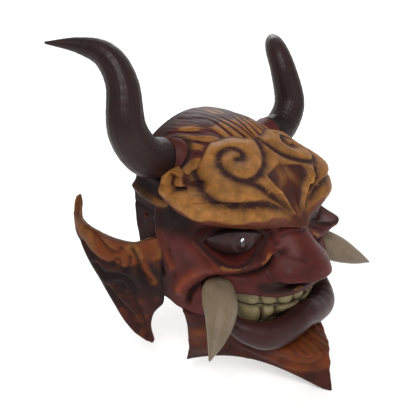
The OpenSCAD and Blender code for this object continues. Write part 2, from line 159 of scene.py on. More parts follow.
def apart(points, path):
    """How far each point is from a path, and how far along the path its nearest place is, 0 to 1."""
    flat = points.reshape(-1, points.shape[-1])
    start, step = path[:-1], path[1:] - path[:-1]
    size = (step ** 2).sum(1)
    near, along = np.full(len(flat), 1e9), np.zeros(len(flat))
    for i in range(len(step)):
        gap = flat - start[i]
        t = np.clip(gap @ step[i] / size[i], 0, 1)
        d = ((gap - t[:, None] * step[i]) ** 2).sum(1)
        closer = d < near
        near[closer] = d[closer]
        along[closer] = (i + t[closer]) / len(step)
    return np.sqrt(near).reshape(points.shape[:-1]), along.reshape(points.shape[:-1])


def ripple(points, length, seed):
    """Soft carving unevenness, about -1 to 1, from a few crossing waves."""
    draw = np.random.default_rng(seed)
    total = 0
    for _ in range(10):
        way = draw.normal(size=3)
        way *= 2 * math.pi / (length * draw.uniform(0.6, 1.6)) / np.linalg.norm(way)
        total = total + np.sin(points @ way + draw.uniform(0, 7))
    return total / 3.2


def soften(height, times):
    for _ in range(times):
        wide = np.pad(height, 1, mode="edge")
        height = (wide[:-2, 1:-1] + wide[2:, 1:-1] + wide[1:-1, :-2] + wide[1:-1, 2:] + 2 * height) / 6
    return height


def hub_y(z):
    return RIM_BACK + 0.25 * z - 7 * smooth((z - 40) / 34)


def level(z):
    return np.where(z > HUB, (z - HUB) / (CROWN - HUB), (z - HUB) / (HUB - JAW))


def dome(z):
    return np.maximum(0, 1 - np.maximum(0, level(z)) ** 2.15) ** (1 / 2.15)


def snout(a, z):
    return SNOUT * bump(a, 0, 24) * smooth((-28 - z) / 22) * (1 - smooth((-68 - z) / 14))


def plan_radius(a, z, inset):
    w = np.maximum(FACE_HALF_W * dome(z) - inset, 0.01)
    d = np.maximum((FACE_DEPTH + hub_y(z) - RIM_BACK) * dome(z) + MUZZLE * smooth(-level(z) * 1.1)
                   - inset, 0.01)
    n = 2.8 - 0.7 * np.maximum(0, level(z)) ** 2
    a = np.radians(a)
    return ((np.abs(np.sin(a)) / w) ** n + (np.abs(np.cos(a)) / d) ** n) ** (-1 / n)


def polar(a, z, r):
    a, z, r = np.broadcast_arrays(a, z, r)
    return np.stack([r * np.sin(np.radians(a)), hub_y(z) - r * np.cos(np.radians(a)), z], -1)


def features(a, z):
    c = np.abs(FACE_HALF_W * np.radians(a))
    width = 9 + 13 * smooth((4 - z) / 44)
    nose = NOSE * smooth((8 - z) / 44) ** 0.8 * (1 - smooth((-40 - z) / 6)) * np.exp(-(c / width) ** 2.6)
    cheek = 15 * bump(c, 54, 18) * bump(z, -22, 12)
    socket = -5 * bump(c, 54, 24) * bump(z, -2, 9)
    return nose * (1 - 0.35 * smooth((-28 - z) / 22)) + cheek + socket


def skin(a, z, out=0.0):
    return polar(a, z, plan_radius(a, z, 0) + snout(a, z) + features(a, z) + out)


def on_skin(points):
    """A carving line given as (distance round the face, height) pairs, laid on the face."""
    p = line(points)
    return skin(np.degrees(p[:, 0] / FACE_HALF_W), p[:, 1])


def shell_low(a):
    a = np.abs(a)
    return (LIP_EDGE + 7 * smooth((a - 14) / 24) + (JAW - LIP_EDGE - 7) * smooth((a - 38) / 12)
            + 5 * bump(a, 77, 8))


def closed_grid(outer, inner):
    """Faces of a closed shell between a fine outer grid and an inner grid of half as many steps."""
    rows, cols = outer.shape[:2]
    half_rows, half_cols = inner.shape[:2]
    base = rows * cols
    o = np.arange(base).reshape(rows, cols)
    n = base + np.arange(half_rows * half_cols).reshape(half_rows, half_cols)
    quads = np.stack([o[:-1, :-1], o[:-1, 1:], o[1:, 1:], o[1:, :-1]], -1).reshape(-1, 4)
    back = np.stack([n[:-1, :-1], n[1:, :-1], n[1:, 1:], n[:-1, 1:]], -1).reshape(-1, 4)
    ring_o = np.concatenate([o[0, :-1], o[:-1, -1], o[-1, :0:-1], o[:0:-1, 0], o[:1, 0]])
    ring_n = np.concatenate([n[0, :-1], n[:-1, -1], n[-1, :0:-1], n[:0:-1, 0], n[:1, 0]])
    rim = []
    for k in range(len(ring_n) - 1):
        j = 2 * k
        rim += [(ring_o[j + 1], ring_o[j], ring_n[k]), (ring_o[j + 1], ring_n[k], ring_n[k + 1]),
                (ring_o[j + 2], ring_o[j + 1], ring_n[k + 1])]
    return quads.tolist() + back.tolist() + [tuple(int(v) for v in f) for f in rim]


def carved(name, places, faces, marks=None, mirrored=False):
    """A piece from places in millimetres, with a number for each place under each mark's name."""
    places = np.asarray(places, float).reshape(-1, 3) * MM
    if mirrored:
        places = places * (-1, 1, 1)
    corners = places[[f[0] for f in faces]], places[[f[1] for f in faces]], places[[f[2] for f in faces]]
    volume = np.einsum("ij,ij->", corners[0], np.cross(corners[1], corners[2]))
    if volume < 0:
        faces = [f[::-1] for f in faces]
    mesh = bpy.data.meshes.new(name)
    mesh.from_pydata(places.tolist(), [], faces)
    mesh.shade_smooth()
    for mark, values in (marks or {}).items():
        layer = mesh.attributes.new(mark, "FLOAT", "POINT")
        layer.data.foreach_set("value", np.asarray(values, np.float32).ravel())
    piece = bpy.data.objects.new(name, mesh)
    bpy.context.scene.collection.objects.link(piece)
    return piece


def shell(name, outer, inner, marks, mirrored=False):
    """A closed shell between an outer grid of places and an inner one."""
    places = np.concatenate([outer.reshape(-1, 3), inner.reshape(-1, 3)])
    return carved(name, places, closed_grid(outer, inner), marks, mirrored)


def shell_marks(inner, **outer_marks):
    """Marks for a closed shell: the given ones outside, none inside, and where the inside is."""
    blank = np.zeros(inner.shape[0] * inner.shape[1])
    marks = {k: np.concatenate([v.ravel(), blank]) for k, v in outer_marks.items()}
    size = next(iter(outer_marks.values())).size
    marks["inside"] = np.concatenate([np.zeros(size), blank + 1])
    return marks


def relief_marks(height, times, scale):
    """Where a carved surface stands out, for wear, and where it lies deep, for painted shade, by its height
    less its softened height.
    """
    edge = height - soften(height, times)
    return np.clip(edge / scale, 0, 1), share(-edge / scale)


# An opening for an eye is a pointed oval between two circles, seen along the eye's own line.
eye_turn, eye_z, eye_w, eye_h, eye_r = 33.0, -10.0, 46.0, 17.0, 30.0
eye_ahead = np.array([math.sin(math.radians(eye_turn)), -math.cos(math.radians(eye_turn)), -0.06])
eye_ahead /= np.linalg.norm(eye_ahead)
eye_across = np.array([-eye_ahead[1], eye_ahead[0], 0]) / math.hypot(eye_ahead[0], eye_ahead[1])
eye_down = np.cross(eye_across, eye_ahead)
eye_hub = skin(np.array(eye_turn), np.array(eye_z)) + (1 - eye_r) * eye_ahead
lid_r = (eye_w ** 2 / 4 + eye_h ** 2 / 4) / eye_h


def from_lids(points):
    """Distance outside an eye's opening, and how far below and outward of its middle."""
    gap = points - eye_hub
    down, across = gap @ eye_down, gap @ eye_across
    shift = lid_r - eye_h / 2
    return np.maximum(np.hypot(down - shift, across), np.hypot(down + shift, across)) - lid_r, down, across


horn_seat = np.array([62.0, -4.0, 43.0])
horn_way = np.array([18.0, 0.0, 5.0]) / math.hypot(18, 5)
tusk_seat = np.array([58.0, -57.0, -43.0])
tusk_way = np.array([8.0, -9.0, -3.5]) / math.sqrt(64 + 81 + 12.25)

rows, cols = 229, 329
turn = np.linspace(-90, 90, cols)[None, :].repeat(rows, 0)
rise = np.sin(np.radians(np.linspace(0, 90, rows)))[:, None]
height_at = mix(shell_low(turn), CROWN - 0.003, rise)
plain = skin(turn, height_at)
arc = np.abs(FACE_HALF_W * np.radians(turn))
z = height_at
half = plain * (1, 1, 1)
half[..., 0] = np.abs(half[..., 0])

lids, below, outward = from_lids(half)
lower = smooth((below + 1) / 5)
cut = np.zeros_like(arc)
cut += 1.5 * bump(lids, 2.6, 2.2) - 1.0 * bump(lids, 6.2, 1.6)
cheek_d, cheek_t = apart(half, on_skin([(25, -23), (31, -25), (42, -24), (54, -22), (64, -25), (74, -33),
                                        (83, -41), (90, -50)]))
cut += 4.4 * beside(cheek_d, 5.0)
fold_d, _ = apart(half, on_skin([(23, -25), (26, -29), (31, -32.5), (38, -33), (47, -31.5), (57, -31),
                                 (66, -37), (73, -43), (80, -50), (84, -58)]))
cut -= 4.2 * beside(fold_d, 2.3)
lip_gap = z - shell_low(turn)
cut += 2.2 * bump(lip_gap, 4.5, 3.4) * smooth((76 - arc) / 12)
cut += 1.6 * bump(arc, 34, 10) * bump(z, -42, 5)
wing_of_nose = half - skin(np.array(13.8), np.array(-33.5))
cut += 3.6 * np.exp(-((wing_of_nose ** 2).sum(-1)) / 70)
ala_d, _ = apart(half, on_skin([(15, -21), (20, -24), (25, -28.5), (27.5, -34), (26.5, -39), (22, -43)]))
cut -= 1.9 * beside(ala_d, 2.6)
cut -= 7.0 * bump(arc, 11, 6.0) * bump(z, -45, 3.0)
for path, deep, wide in (
        ([(19, -20), (14, -23), (8, -26)], 0.9, 1.4),
        ([(0, -10), (7, -9), (13, -12)], 1.3, 1.3),
        ([(0, -3), (7, -3), (12, -6)], 1.1, 1.2),
        ([(17, -1), (18.5, -9), (17, -17)], 2.0, 1.9),
        ([(84, -2), (90, -10), (93, -24), (92, -40)], 0.9, 2.2),
        ([(102, -2), (106, -20), (103, -42)], 1.6, 1.8),
        ([(100, 26), (110, 30), (122, 33)], 1.3, 1.5),
        ([(101, 4), (112, 6), (123, 8)], 1.0, 1.5)):
    d, _ = apart(half, on_skin(path))
    cut -= deep * beside(d, wide)
band_d, _ = apart(half, on_skin([(98, 6), (100, -6), (98, -20), (93, -34)]))
cut += 2.2 * beside(band_d, 2.6)
temple_d, _ = apart(half, on_skin([(124, 20), (114, 16.5), (104, 14), (95, 12.5), (88, 14), (84, 20)]))
cut += 3.0 * beside(temple_d, 3.0)

# The hair fans back and outward from the parting over the brow in broad strands.
hair = smooth((z - mix(40, 24, smooth((arc - 44) / 20))) / 5) * (1 - smooth((arc - 98) / 16))
comb = np.degrees(np.arctan2(half[..., 0], half[..., 1] + 78))
wander = ripple(half * (1, 0.6, 1), 30, 4)
phase = comb / 8.0 + 0.45 * wander
strand = np.abs(np.cos(math.pi * phase)) ** 0.9
tuft = 0.5 + 0.5 * ripple(half, 24, 9)
fine_hair = np.cos(2 * math.pi * comb / 2.7 + 2.0 * ripple(half, 14, 6))
cut += hair * ((2.6 * strand - 1.7) * mix(0.55, 1, share(tuft)) + 0.22 * fine_hair)
from_horn = np.linalg.norm(np.cross(half - horn_seat, horn_way), axis=-1)
cut = np.where(from_horn < 22, mix(cut, 1.0, smooth((22 - from_horn) / 4)), cut)
cut += 0.5 * bump(from_horn, 17.2, 2.2)
cut += 0.25 * ripple(half, 16, 2)

outer = skin(turn, z, cut)
inner_turn, inner_z = turn[::2, ::2], z[::2, ::2]
behind = polar(inner_turn, inner_z, plan_radius(inner_turn, inner_z, 0) + snout(inner_turn, inner_z)
               + 0.4 * features(inner_turn, inner_z))
towards = np.stack([0 * inner_z, hub_y(np.minimum(inner_z, 20)), np.minimum(inner_z, 20)], -1) - behind
towards /= np.linalg.norm(towards, axis=-1, keepdims=True)
gouge = (0.45 * np.abs(np.sin(behind[..., 0] / 3.4 + 2 * ripple(behind, 30, 5)))
         * np.abs(np.sin(behind[..., 2] / 8 + ripple(behind, 20, 8))))
rim_room = np.minimum(1, (90 - np.abs(inner_turn)) / 6)
inner = behind + towards * (WALL + gouge * rim_room)[..., None]

# Painted shade: the carved hollows and a band round each eye opening are darkened.
worn, deep = relief_marks(cut, 26, 1.6)
deep = np.maximum(deep, 0.9 * (1 - smooth((lids - 1.5) / 5)) * smooth((arc - 12) / 6)
                  * (1 - smooth((arc - 78) / 8)) * smooth((z + 40) / 8))
ochre = (hair * smooth((strand - 0.4) / 0.45) * (1 - smooth((half[..., 1] + 12 + 14 * wander) / 30))
         * share(0.3 + tuft))
ochre *= 1 - smooth((arc - 80) / 22)
ochre = np.maximum(ochre, 0.85 * beside(temple_d, 3.4) * smooth((arc - 84) / 4))
# Orange lacquer on the cheek ridge, the lower lids and the side band, partly painted highlight on these
# raised ridges.
orange = 0.6 * beside(cheek_d, 4.2) * (0.6 * (1 - smooth(cheek_t / 0.1)) + smooth((cheek_t - 0.4) / 0.3))
orange = np.maximum(orange, 0.6 * bump(lids, 5.5, 1.8) * lower * smooth((outward - 2) / 12))
orange = np.maximum(orange, 0.5 * beside(band_d, 4.0))
# Painted shade: the temples and far sides, the crown, the skin under the nose down to the lip edge and the
# ring round each horn foot are darkened.
night = smooth((arc - 60) / 16) * smooth((z + 16) / 14) * (1 - ochre) * (1 - smooth((z - 42) / 10))
night = np.maximum(night, 0.55 * smooth((z - 60) / 8) * (1 - ochre))
night = np.maximum(night, smooth((arc - 88) / 18) * 0.85)
gloss = smooth((34 - arc) / 18) * smooth((-z - 2) / 14) * smooth((z + 50) / 8)
night = np.maximum(night, 0.9 * smooth((z - shell_low(turn) - 1) / 3) * smooth((-39 - z) / 3)
                   * smooth((44 - arc) / 12))
night = np.maximum(night, 0.9 * smooth((21 - from_horn) / 4))


class Paint:
    """A value in a material. Arithmetic on it adds Math nodes; add() adds any other node."""

    def __init__(self, tree, socket=None):
        self.tree, self.socket = tree, socket

    def add(self, kind, sockets=None, out=0, **settings):
        node = self.tree.nodes.new("ShaderNode" + kind)
        for name, value in settings.items():
            setattr(node, name, value)
        for name, value in (sockets or {}).items():
            if isinstance(value, Paint):
                self.tree.links.new(value.socket, node.inputs[name])
            else:
                node.inputs[name].default_value = value
        return Paint(self.tree, node.outputs[out])

    def maths(self, operation, a, b=0.0, clamp=False):
        return self.add("Math", {0: a, 1: b}, operation=operation, use_clamp=clamp)

    def __add__(self, other):
        return self.maths("ADD", self, other)

    __radd__ = __add__

    def __sub__(self, other):
        return self.maths("SUBTRACT", self, other)

    def __rsub__(self, other):
        return self.maths("SUBTRACT", other, self)

    def __mul__(self, other):
        return self.maths("MULTIPLY", self, other)

    __rmul__ = __mul__

    def held(self):
        """The value kept between 0 and 1."""
        return self.maths("ADD", self, 0.0, clamp=True)

    def blend(self, factor, a, b):
        return self.add("Mix", {0: factor, 6: a, 7: b}, out=2, data_type="RGBA")

    def mark(self, name):
        return self.add("Attribute", out=2, attribute_name=name)

    def mottle(self, where, scale, detail=3.0, roughness=0.55, distortion=0.0):
        return self.add("TexNoise", {"Vector": where, "Scale": scale, "Detail": detail,
                                     "Roughness": roughness,
                                     "Distortion": distortion})

    def between(self, value, low, high):
        """0 below low, 1 above high, and a smooth step between."""
        return self.add("MapRange", {"Value": value, "From Min": low, "From Max": high},
                        interpolation_type="SMOOTHSTEP")


def shade(red, green, blue):
    """A colour as a painter's chart gives it, 0 to 255, as the renderer needs it."""
    return tuple(((v / 255 + 0.055) / 1.055) ** 2.4 if v > 10 else v / 255 / 12.92
                 for v in (red, green, blue)) + (1.0,)


def new_paint(name):
    material = bpy.data.materials.new(name)
    material.use_nodes = True
    return material, Paint(material.node_tree), material.node_tree.nodes["Principled BSDF"]


def clouded(name, cloud_scale, small_scale, one, two, cloud_detail=4.0, small_detail=3.0, high=0.68):
    """The start of a lacquer: its material, and a ground mottled between two colours."""
    material, p, bsdf = new_paint(name)
    at = p.add("TexCoord", out=3)
    cloud, small = (p.mottle(at, cloud_scale, cloud_detail, 0.6),
                    p.mottle(at, small_scale, small_detail, 0.6))
    return (material, p, bsdf, at, cloud, small,
            p.blend(p.between(cloud, 0.35, high), shade(*one), shade(*two)))


def finish_with(bsdf, colour, roughness, normal=None, coat=0.0, coat_roughness=0.3):
    tree = colour.tree
    tree.links.new(colour.socket, bsdf.inputs["Base Color"])
    tree.links.new(roughness.socket, bsdf.inputs["Roughness"])
    if normal:
        tree.links.new(normal.socket, bsdf.inputs["Normal"])
    bsdf.inputs["Specular IOR Level"].default_value = 0.15
    bsdf.inputs["Coat Weight"].default_value = coat
    bsdf.inputs["Coat Roughness"].default_value = coat_roughness


def lacquer(name, ground, ground_two, rubbed, glow, crevice_shade, sheen, rough=0.5):
    """Old lacquer: a mottled ground with patches of painted sheen, rubbed ochre and orange patches where
    marked, painted shade in hollows and broad painted shade where marked, fine pits.
    """
    material, p, bsdf = new_paint(name)
    at = p.add("TexCoord", out=3)
    cloud = p.mottle(at, 28.0, 5.0, 0.6, 0.3)
    small = p.mottle(at, 140.0, 4.0, 0.65)
    grain = p.mottle(p.add("Mapping", {"Vector": at, "Scale": (1.0, 1.0, 0.22)}), 420.0, 3.0, 0.6)
    worn_at, hollow_shade_at, inside = p.mark("worn"), p.mark("deep"), p.mark("inside")
    ochre_at, orange_at, night_at = p.mark("ochre"), p.mark("orange"), p.mark("night")
    colour = p.blend(p.between(cloud, 0.36, 0.66), shade(*ground), shade(*ground_two))
    # Painted sheen: lighter patches where the fine mottle is high.
    colour = p.blend((p.between(small, 0.5, 0.75) * 0.35).held(), colour, shade(*sheen))
    colour = p.blend((orange_at * p.between(cloud + small * 0.4, 0.42, 0.8) * 1.15).held(), colour,
                     shade(*glow))
    rubbed_tone = p.blend(p.between(small + cloud * 0.6, 0.55, 1.05), shade(*rubbed),
                          shade(*[v * 0.74 for v in rubbed]))
    colour = p.blend(p.between(ochre_at + (small - 0.5) * 0.45 + worn_at * 0.18, 0.22, 0.62), colour,
                     rubbed_tone)
    # Painted shade: broad darkening towards a darker shade tone where marked.
    colour = p.blend((night_at * p.between(cloud + 0.25, 0.3, 0.7) * 0.92).held(), colour,
                     shade(*[v * 0.72 for v in crevice_shade]))
    # Painted shade in the carved hollows, where marked.
    colour = p.blend((hollow_shade_at * 0.95 * p.between(small + 0.5, 0.6, 1.0)).held(), colour, shade(*crevice_shade))
    chips = p.between(worn_at * 0.9 + p.mottle(at, 260.0, 2.0, 0.5) * 0.8, 1.1, 1.3)
    colour = p.blend((chips * 0.22).held(), colour, shade(*[min(255, v * 1.25 + 14) for v in rubbed]))
    wood = p.blend(p.between(p.add("TexWave",
                                   {"Vector": p.add("Mapping", {"Vector": at, "Scale": (1.0, 1.0, 0.25)}),
                                               "Scale": 85.0, "Distortion": 7.0, "Detail": 4.0,
                                    "Detail Scale": 1.6}), 0.1, 0.9),
                   shade(112, 78, 50), shade(86, 58, 38))
    colour = p.blend(p.between(inside, 0.45, 0.75), colour, wood)
    roughness = (rough + (small - 0.5) * 0.22 + hollow_shade_at * 0.22 + inside * 0.2 - p.mark("gloss")
                 * 0.1).held()
    fine = p.add("Bump", {"Strength": 0.32, "Distance": 0.0006, "Height": grain * 0.55 + small * 0.6
                          + cloud * 0.35})
    finish_with(bsdf, colour, roughness, fine, coat=0.04, coat_roughness=0.4)
    return material


face_lacquer = lacquer("face_lacquer", (86, 34, 30), (66, 25, 22), (150, 96, 42), (128, 54, 24),
                       (28, 13, 12), (88, 44, 40), 0.52)


def cut_with(piece, tools):
    """Takes each closed tool away from a piece, or joins it where its name starts with boss."""
    for tool in tools:
        step = piece.modifiers.new("cut", "BOOLEAN")
        step.operation = "UNION" if tool.name.startswith("boss") else "DIFFERENCE"
        step.solver = "MANIFOLD"
        step.object = tool
    made = bpy.data.meshes.new_from_object(piece.evaluated_get(bpy.context.evaluated_depsgraph_get()))
    piece.modifiers.clear()
    old, piece.data = piece.data, made
    made.name = piece.name
    bpy.data.meshes.remove(old)
    for tool in tools:
        bpy.data.objects.remove(tool)


def drum(name, outline, foot, top, at, way, up, mirrored=False):
    """A closed straight-sided tool with a given outline, standing at a place along a direction."""
    side = np.cross(way, up)
    ring = [at + x * up + y * side for x, y in outline]
    places = [q + foot * way for q in ring] + [q + top * way for q in ring]
    n = len(outline)
    faces = [tuple(range(n))[::-1], tuple(range(n, 2 * n))] + [
        (i, (i + 1) % n, n + (i + 1) % n, n + i) for i in range(n)]
    return carved(name, places, faces, mirrored=mirrored)


def disk(radius, sides=64):
    return [(radius * math.cos(2 * math.pi * i / sides), radius * math.sin(2 * math.pi * i / sides))
            for i in range(sides)]


def lens(room, steps=40):
    """The pointed oval of an eye's opening, wider by room all round."""
    r, shift = lid_r + room, lid_r - eye_h / 2
    tip = math.acos(shift / r)
    sweep_angles = np.linspace(-tip, tip, steps)
    one = [(r * math.cos(t) - shift, r * math.sin(t)) for t in sweep_angles]
    two = [(-(r * math.cos(t) - shift), -r * math.sin(t)) for t in sweep_angles]
    return one[:-1] + two[:-1]


marks = shell_marks(inner, ochre=ochre, orange=orange, night=night, worn=worn, deep=deep, gloss=gloss)
face = shell("face", outer, inner, marks)
up = np.array([0.0, 0.0, 1.0])
horn_up = np.cross(horn_way, (0, 1, 0))
tusk_up = np.cross(tusk_way, (0.747, 0.664, 0))
tusk_up /= np.linalg.norm(tusk_up)
tools = []
for other, side in SIDES:
    tools += [drum("boss_" + side, disk(15.9), -14, 0.3, horn_seat, horn_way, horn_up, other),
              drum("seat_" + side, disk(16), -0.3, 26, horn_seat, horn_way, horn_up, other),
              drum("tusk_seat_" + side, disk(12.4), -0.3, 40, tusk_seat, tusk_way, tusk_up, other),
              drum("eye_hole_" + side, lens(0.3), 0, 50, eye_hub, eye_ahead, -eye_down, other)]
tools.append(drum("cord_hole", disk(2.5, 32), -160, 160, np.zeros(3), np.array([1.0, 0, 0]), up))
cut_with(face, tools)
face.data.materials.clear()
face.data.materials.append(face_lacquer)
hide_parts("face_shell")
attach(face, "root")

# ---------------------------------------------------------------- brow
# Two mirrored blocks glued and pegged over the forehead, carved with a large scroll, a
# curl at the temple and a heavy lower roll, and finished in ochre rubbed over red lacquer.
BROW_END, BROW_T = 66.0, 19.0


def brow_low(a):
    return -6 + 0.25 * a + 12 * (np.maximum(0, a - 40) / 26) ** 2.2


def brow_high(a):
    return CROWN - 17 + 3 * bump(a, 20, 12) - 20 * smooth((a - 34) / 16) + 6 * smooth((a - 50) / 7)


def brow_swell(a, v):
    t = BROW_T * (0.62 + 0.38 * smooth((a - 2) / 30) - 0.3 * smooth((a - 48) / 18))
    roll = np.sqrt(np.maximum(0, 1 - (1 - np.minimum(1, v / 0.45)) ** 2))
    return mix(8, t, roll) * (1 - 0.62 * smooth((v - 0.45) / 0.55))


def on_brow(points):
    p = line(points)
    a = np.degrees(p[:, 0] / FACE_HALF_W)
    v = share((p[:, 1] - brow_low(a)) / (brow_high(a) - brow_low(a)))
    return skin(a, p[:, 1], brow_swell(a, v))


brow_rows, brow_cols = 201, 241
brow_a = np.linspace(0.15, BROW_END, brow_cols)[None, :].repeat(brow_rows, 0)
brow_v = np.linspace(0, 1, brow_rows)[:, None].repeat(brow_cols, 1)
brow_z = mix(brow_low(brow_a), brow_high(brow_a), brow_v)
swell = brow_swell(brow_a, brow_v)
brow_plain = skin(brow_a, brow_z, swell)
brow_c = FACE_HALF_W * np.radians(brow_a)

outside_d, outside_t = apart(brow_plain, on_brow([(66, 40), (63, 34), (61, 29), (57, 24.5), (52, 21.5),
                                                  (45, 20), (36, 19), (25, 17), (12, 9), (2, 0)]))
spiral_d, _ = apart(brow_plain, on_brow([(1, 56), (3.5, 51), (7, 45.5), (12, 41), (20, 37), (28, 34.2),
        (35, 33.8), (41, 36), (45, 39.5), (46.5, 43.5), (44.5, 47.5), (40, 50), (34, 51), (28.5, 50),
                                         (26.5, 47.4), (29, 45.2), (33, 45)]))
strap_d, strap_t = apart(brow_plain, on_brow([(35, 33.8), (30, 31), (26, 28), (21, 22.5), (11, 12),
                                              (2, 0)]))
valley = np.minimum(np.minimum(outside_d, spiral_d), strap_d)
scroll_side = smooth((70 - brow_c) / 6)
fade = np.where(outside_d <= np.minimum(spiral_d, strap_d), 1 - 0.55 * smooth((outside_t - 0.75) / 0.25),
                1 - 0.5 * smooth((strap_t - 0.6) / 0.4) * (strap_d < spiral_d))
carve = scroll_side * fade * (-4.6 * beside(valley, 5.4) - 1.0 * beside(valley, 1.6))
carve += 2.2 * scroll_side * smooth(brow_z - 22)

crease = np.interp(brow_z, [-6, 0, 5, 12, 20, 28, 36, 42], [0.3, 1.2, 3, 6, 10, 16, 19, 20])
diamond = smooth((crease - brow_c) / 3.0 + 0.5) * smooth((41.5 - 0.28 * brow_c - brow_z)
                                                         / 4.5) * smooth((brow_z - 2) / 9)
carve = mix(carve, -5.0 + 1.8 * bump(brow_c, 0, 2.6) + 1.6 * smooth((brow_z - 22) / 14), diamond)
strap_ridge, _ = apart(brow_plain, on_brow([(21, 35), (18.4, 28), (12.4, 20), (8, 12), (4.6, 5)]))
carve += 1.7 * beside(strap_ridge, 1.7) * (1 - diamond)

hook_d, _ = apart(brow_plain, on_brow([(83, 24), (87, 28), (86.5, 33), (82, 36.5), (76.5, 36), (73, 33),
                                       (74.5, 29.8), (77, 29)]))
hollow_d, _ = apart(brow_plain, on_brow([(61, 30.5), (66, 29.5), (70, 30), (70.5, 34)]))
recess_d, _ = apart(brow_plain, on_brow([(80, 32.5), (80.5, 29.5), (77, 27), (71, 26.8)]))
temple = smooth((brow_c - 60) / 9) * smooth((brow_z - 25) / 6)
lowered = mix(swell + carve, 3.8, temple)
lowered = mix(lowered, 1.6, 0.9 * beside(hollow_d, 4.2))
lowered = mix(lowered, 1.8, 0.9 * beside(recess_d, 2.8) * smooth((brow_c - 66) / 6))
lowered = lowered + np.maximum(0, 8.6 - lowered) * beside(hook_d, 4.0) * smooth((brow_c - 66) / 8)
clear = smooth((brow_c - 59) / 5) * smooth((brow_z - 35) / 5) * (1 - smooth((brow_c - 71) / 5))
lowered = mix(lowered, 0.6, clear)
lowered += 0.9 * bump(brow_z, brow_low(brow_a) + 11, 5) * smooth((brow_c - 10) / 20)
lowered += 0.22 * ripple(brow_plain, 13, 21) + 0.1 * ripple(brow_plain, 5, 22)
edge_drop = smooth(brow_v / 0.02) * smooth((1 - brow_v) / 0.05) * smooth((BROW_END - brow_a) / 1.6)
lowered = mix(0.4, lowered, edge_drop ** 0.5)

brow_outer = skin(brow_a, brow_z, lowered)
brow_inner = skin(brow_a[::2, ::2], brow_z[::2, ::2], 0.1)
brow_worn, brow_hollow_shade = relief_marks(lowered, 30, 1.5)
# Painted shade: beside the scroll's valleys the brow is darkened.
brow_shadow = share(1.2 * beside(valley, 3.2) * scroll_side * fade)
brow_hollow_shade = share(np.maximum(brow_hollow_shade, brow_shadow))
# Painted shade: the sunk diamond, the hollows at the temple and the cleared patch are darkened and kept
# free of ochre.
recess_shade = share(diamond * (0.72 + 0.35 * ripple(brow_plain, 30, 31)) + 0.8 * beside(hollow_d, 4.4)
                 + 0.7 * beside(recess_d, 2.4) * smooth((brow_c - 66) / 6) + clear)
# Painted shade: the roll's underside loses its ochre and is painted darker orange-brown.
underside_shade = smooth((0.27 - brow_v + 0.03 * ripple(brow_plain, 18, 33)) / 0.2)
brow_marks = shell_marks(brow_inner, ochre=share(1 - 1.1 * recess_shade - 0.95 * underside_shade),
                         orange=share(0.9 * underside_shade + 0.7 * diamond),
                         night=share(recess_shade * 0.75 + 0.5 * smooth((0.14 - brow_v) / 0.1)),
                         worn=brow_worn, deep=brow_hollow_shade)
brow_lacquer = lacquer("brow_lacquer", (98, 48, 32), (84, 40, 32), (160, 107, 52), (98, 46, 22),
                       (46, 25, 29), (112, 80, 50), 0.54)
for other, side in SIDES:
    brow = shell(side + "_brow_scrolls", brow_outer, brow_inner, brow_marks, other)
    cut_with(brow, [drum("seat_again_" + side, disk(15.6), -0.3, 26, horn_seat, horn_way, horn_up, other)])
    brow.data.materials.clear()
    brow.data.materials.append(brow_lacquer)
    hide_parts(side + "_brow")
    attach(brow, "root")

# ---------------------------------------------------------------- horns
# Each horn is one carved and bent-looking bar of wood, nearly black, with faint growth
# rings and long tool lines; its foot stands in the cut seat on a hardwood dowel.


def tube_faces(steps, sides):
    ring = np.arange(steps * sides).reshape(steps, sides)
    nxt = np.roll(ring, -1, 1)
    faces = np.stack([ring[:-1], nxt[:-1], nxt[1:], ring[1:]], -1).reshape(-1, 4).tolist()
    return faces + [ring[0, ::-1].tolist(), ring[-1].tolist()]


def bar(path, radii, side, steps, sides, swell):
    """Places of a round bar along a smooth path, its faces, and where along and round each place is."""
    last = len(path) - 1
    k = np.linspace(0, last, steps)
    middle, r = curve(path, k), curve(np.asarray(radii, float)[:, None], k)[:, 0]
    ahead = curve(path, np.minimum(last, k + 0.02)) - curve(path, np.maximum(0, k - 0.02))
    ahead /= np.linalg.norm(ahead, axis=1, keepdims=True)
    u = side - (ahead @ side)[:, None] * ahead
    u /= np.linalg.norm(u, axis=1, keepdims=True)
    v = np.cross(ahead, u)
    spin = np.linspace(0, 2 * math.pi, sides, endpoint=False)
    length = np.concatenate([[0], np.cumsum(np.linalg.norm(np.diff(middle, axis=0), axis=1))])
    extra = swell(length[:, None], spin[None, :], r[:, None])
    reach = np.maximum(r[:, None] + extra, 0.05)
    places = middle[:, None] + reach[..., None] * (np.cos(spin)[None, :, None] * u[:, None]
                                                   + np.sin(spin)[None, :, None] * v[:, None])
    return places, tube_faces(steps, sides), np.broadcast_to(length[:, None],
                                                             reach.shape), np.broadcast_to(spin[None, :],
                                                                     reach.shape), extra + 0 * reach


def horn_swell(along, spin, r):
    rings = 0.16 * np.abs(np.sin(math.pi * (along / 6.4
            + 0.25 * np.sin(spin + along / 19)))) ** 0.6 * smooth((along - 6) / 10) * (1
                    - smooth((along - 95) / 50))
    long_lines = 0.07 * np.sin(17 * spin + 0.09 * along) + 0.05 * np.sin(31 * spin - 0.05 * along)
    return (rings + long_lines * smooth(r / 8) - 1.5 * (1 - smooth(along / 2.5)))


horn_steps = [(0, 0, 0), (18, 0, 5), (31, 1, 25), (28, 8, 55), (31, 20, 73), (43, 34, 80), (61, 48, 82)]
horn_path = horn_seat + np.array(horn_steps, float)
horn_places, horn_faces, horn_along, _, horn_extra = bar(
    horn_path, [15, 15, 13.8, 11.4, 9.4, 5.5, 0.8], np.array([0.6, -0.8, 0]), 260, 112, horn_swell)
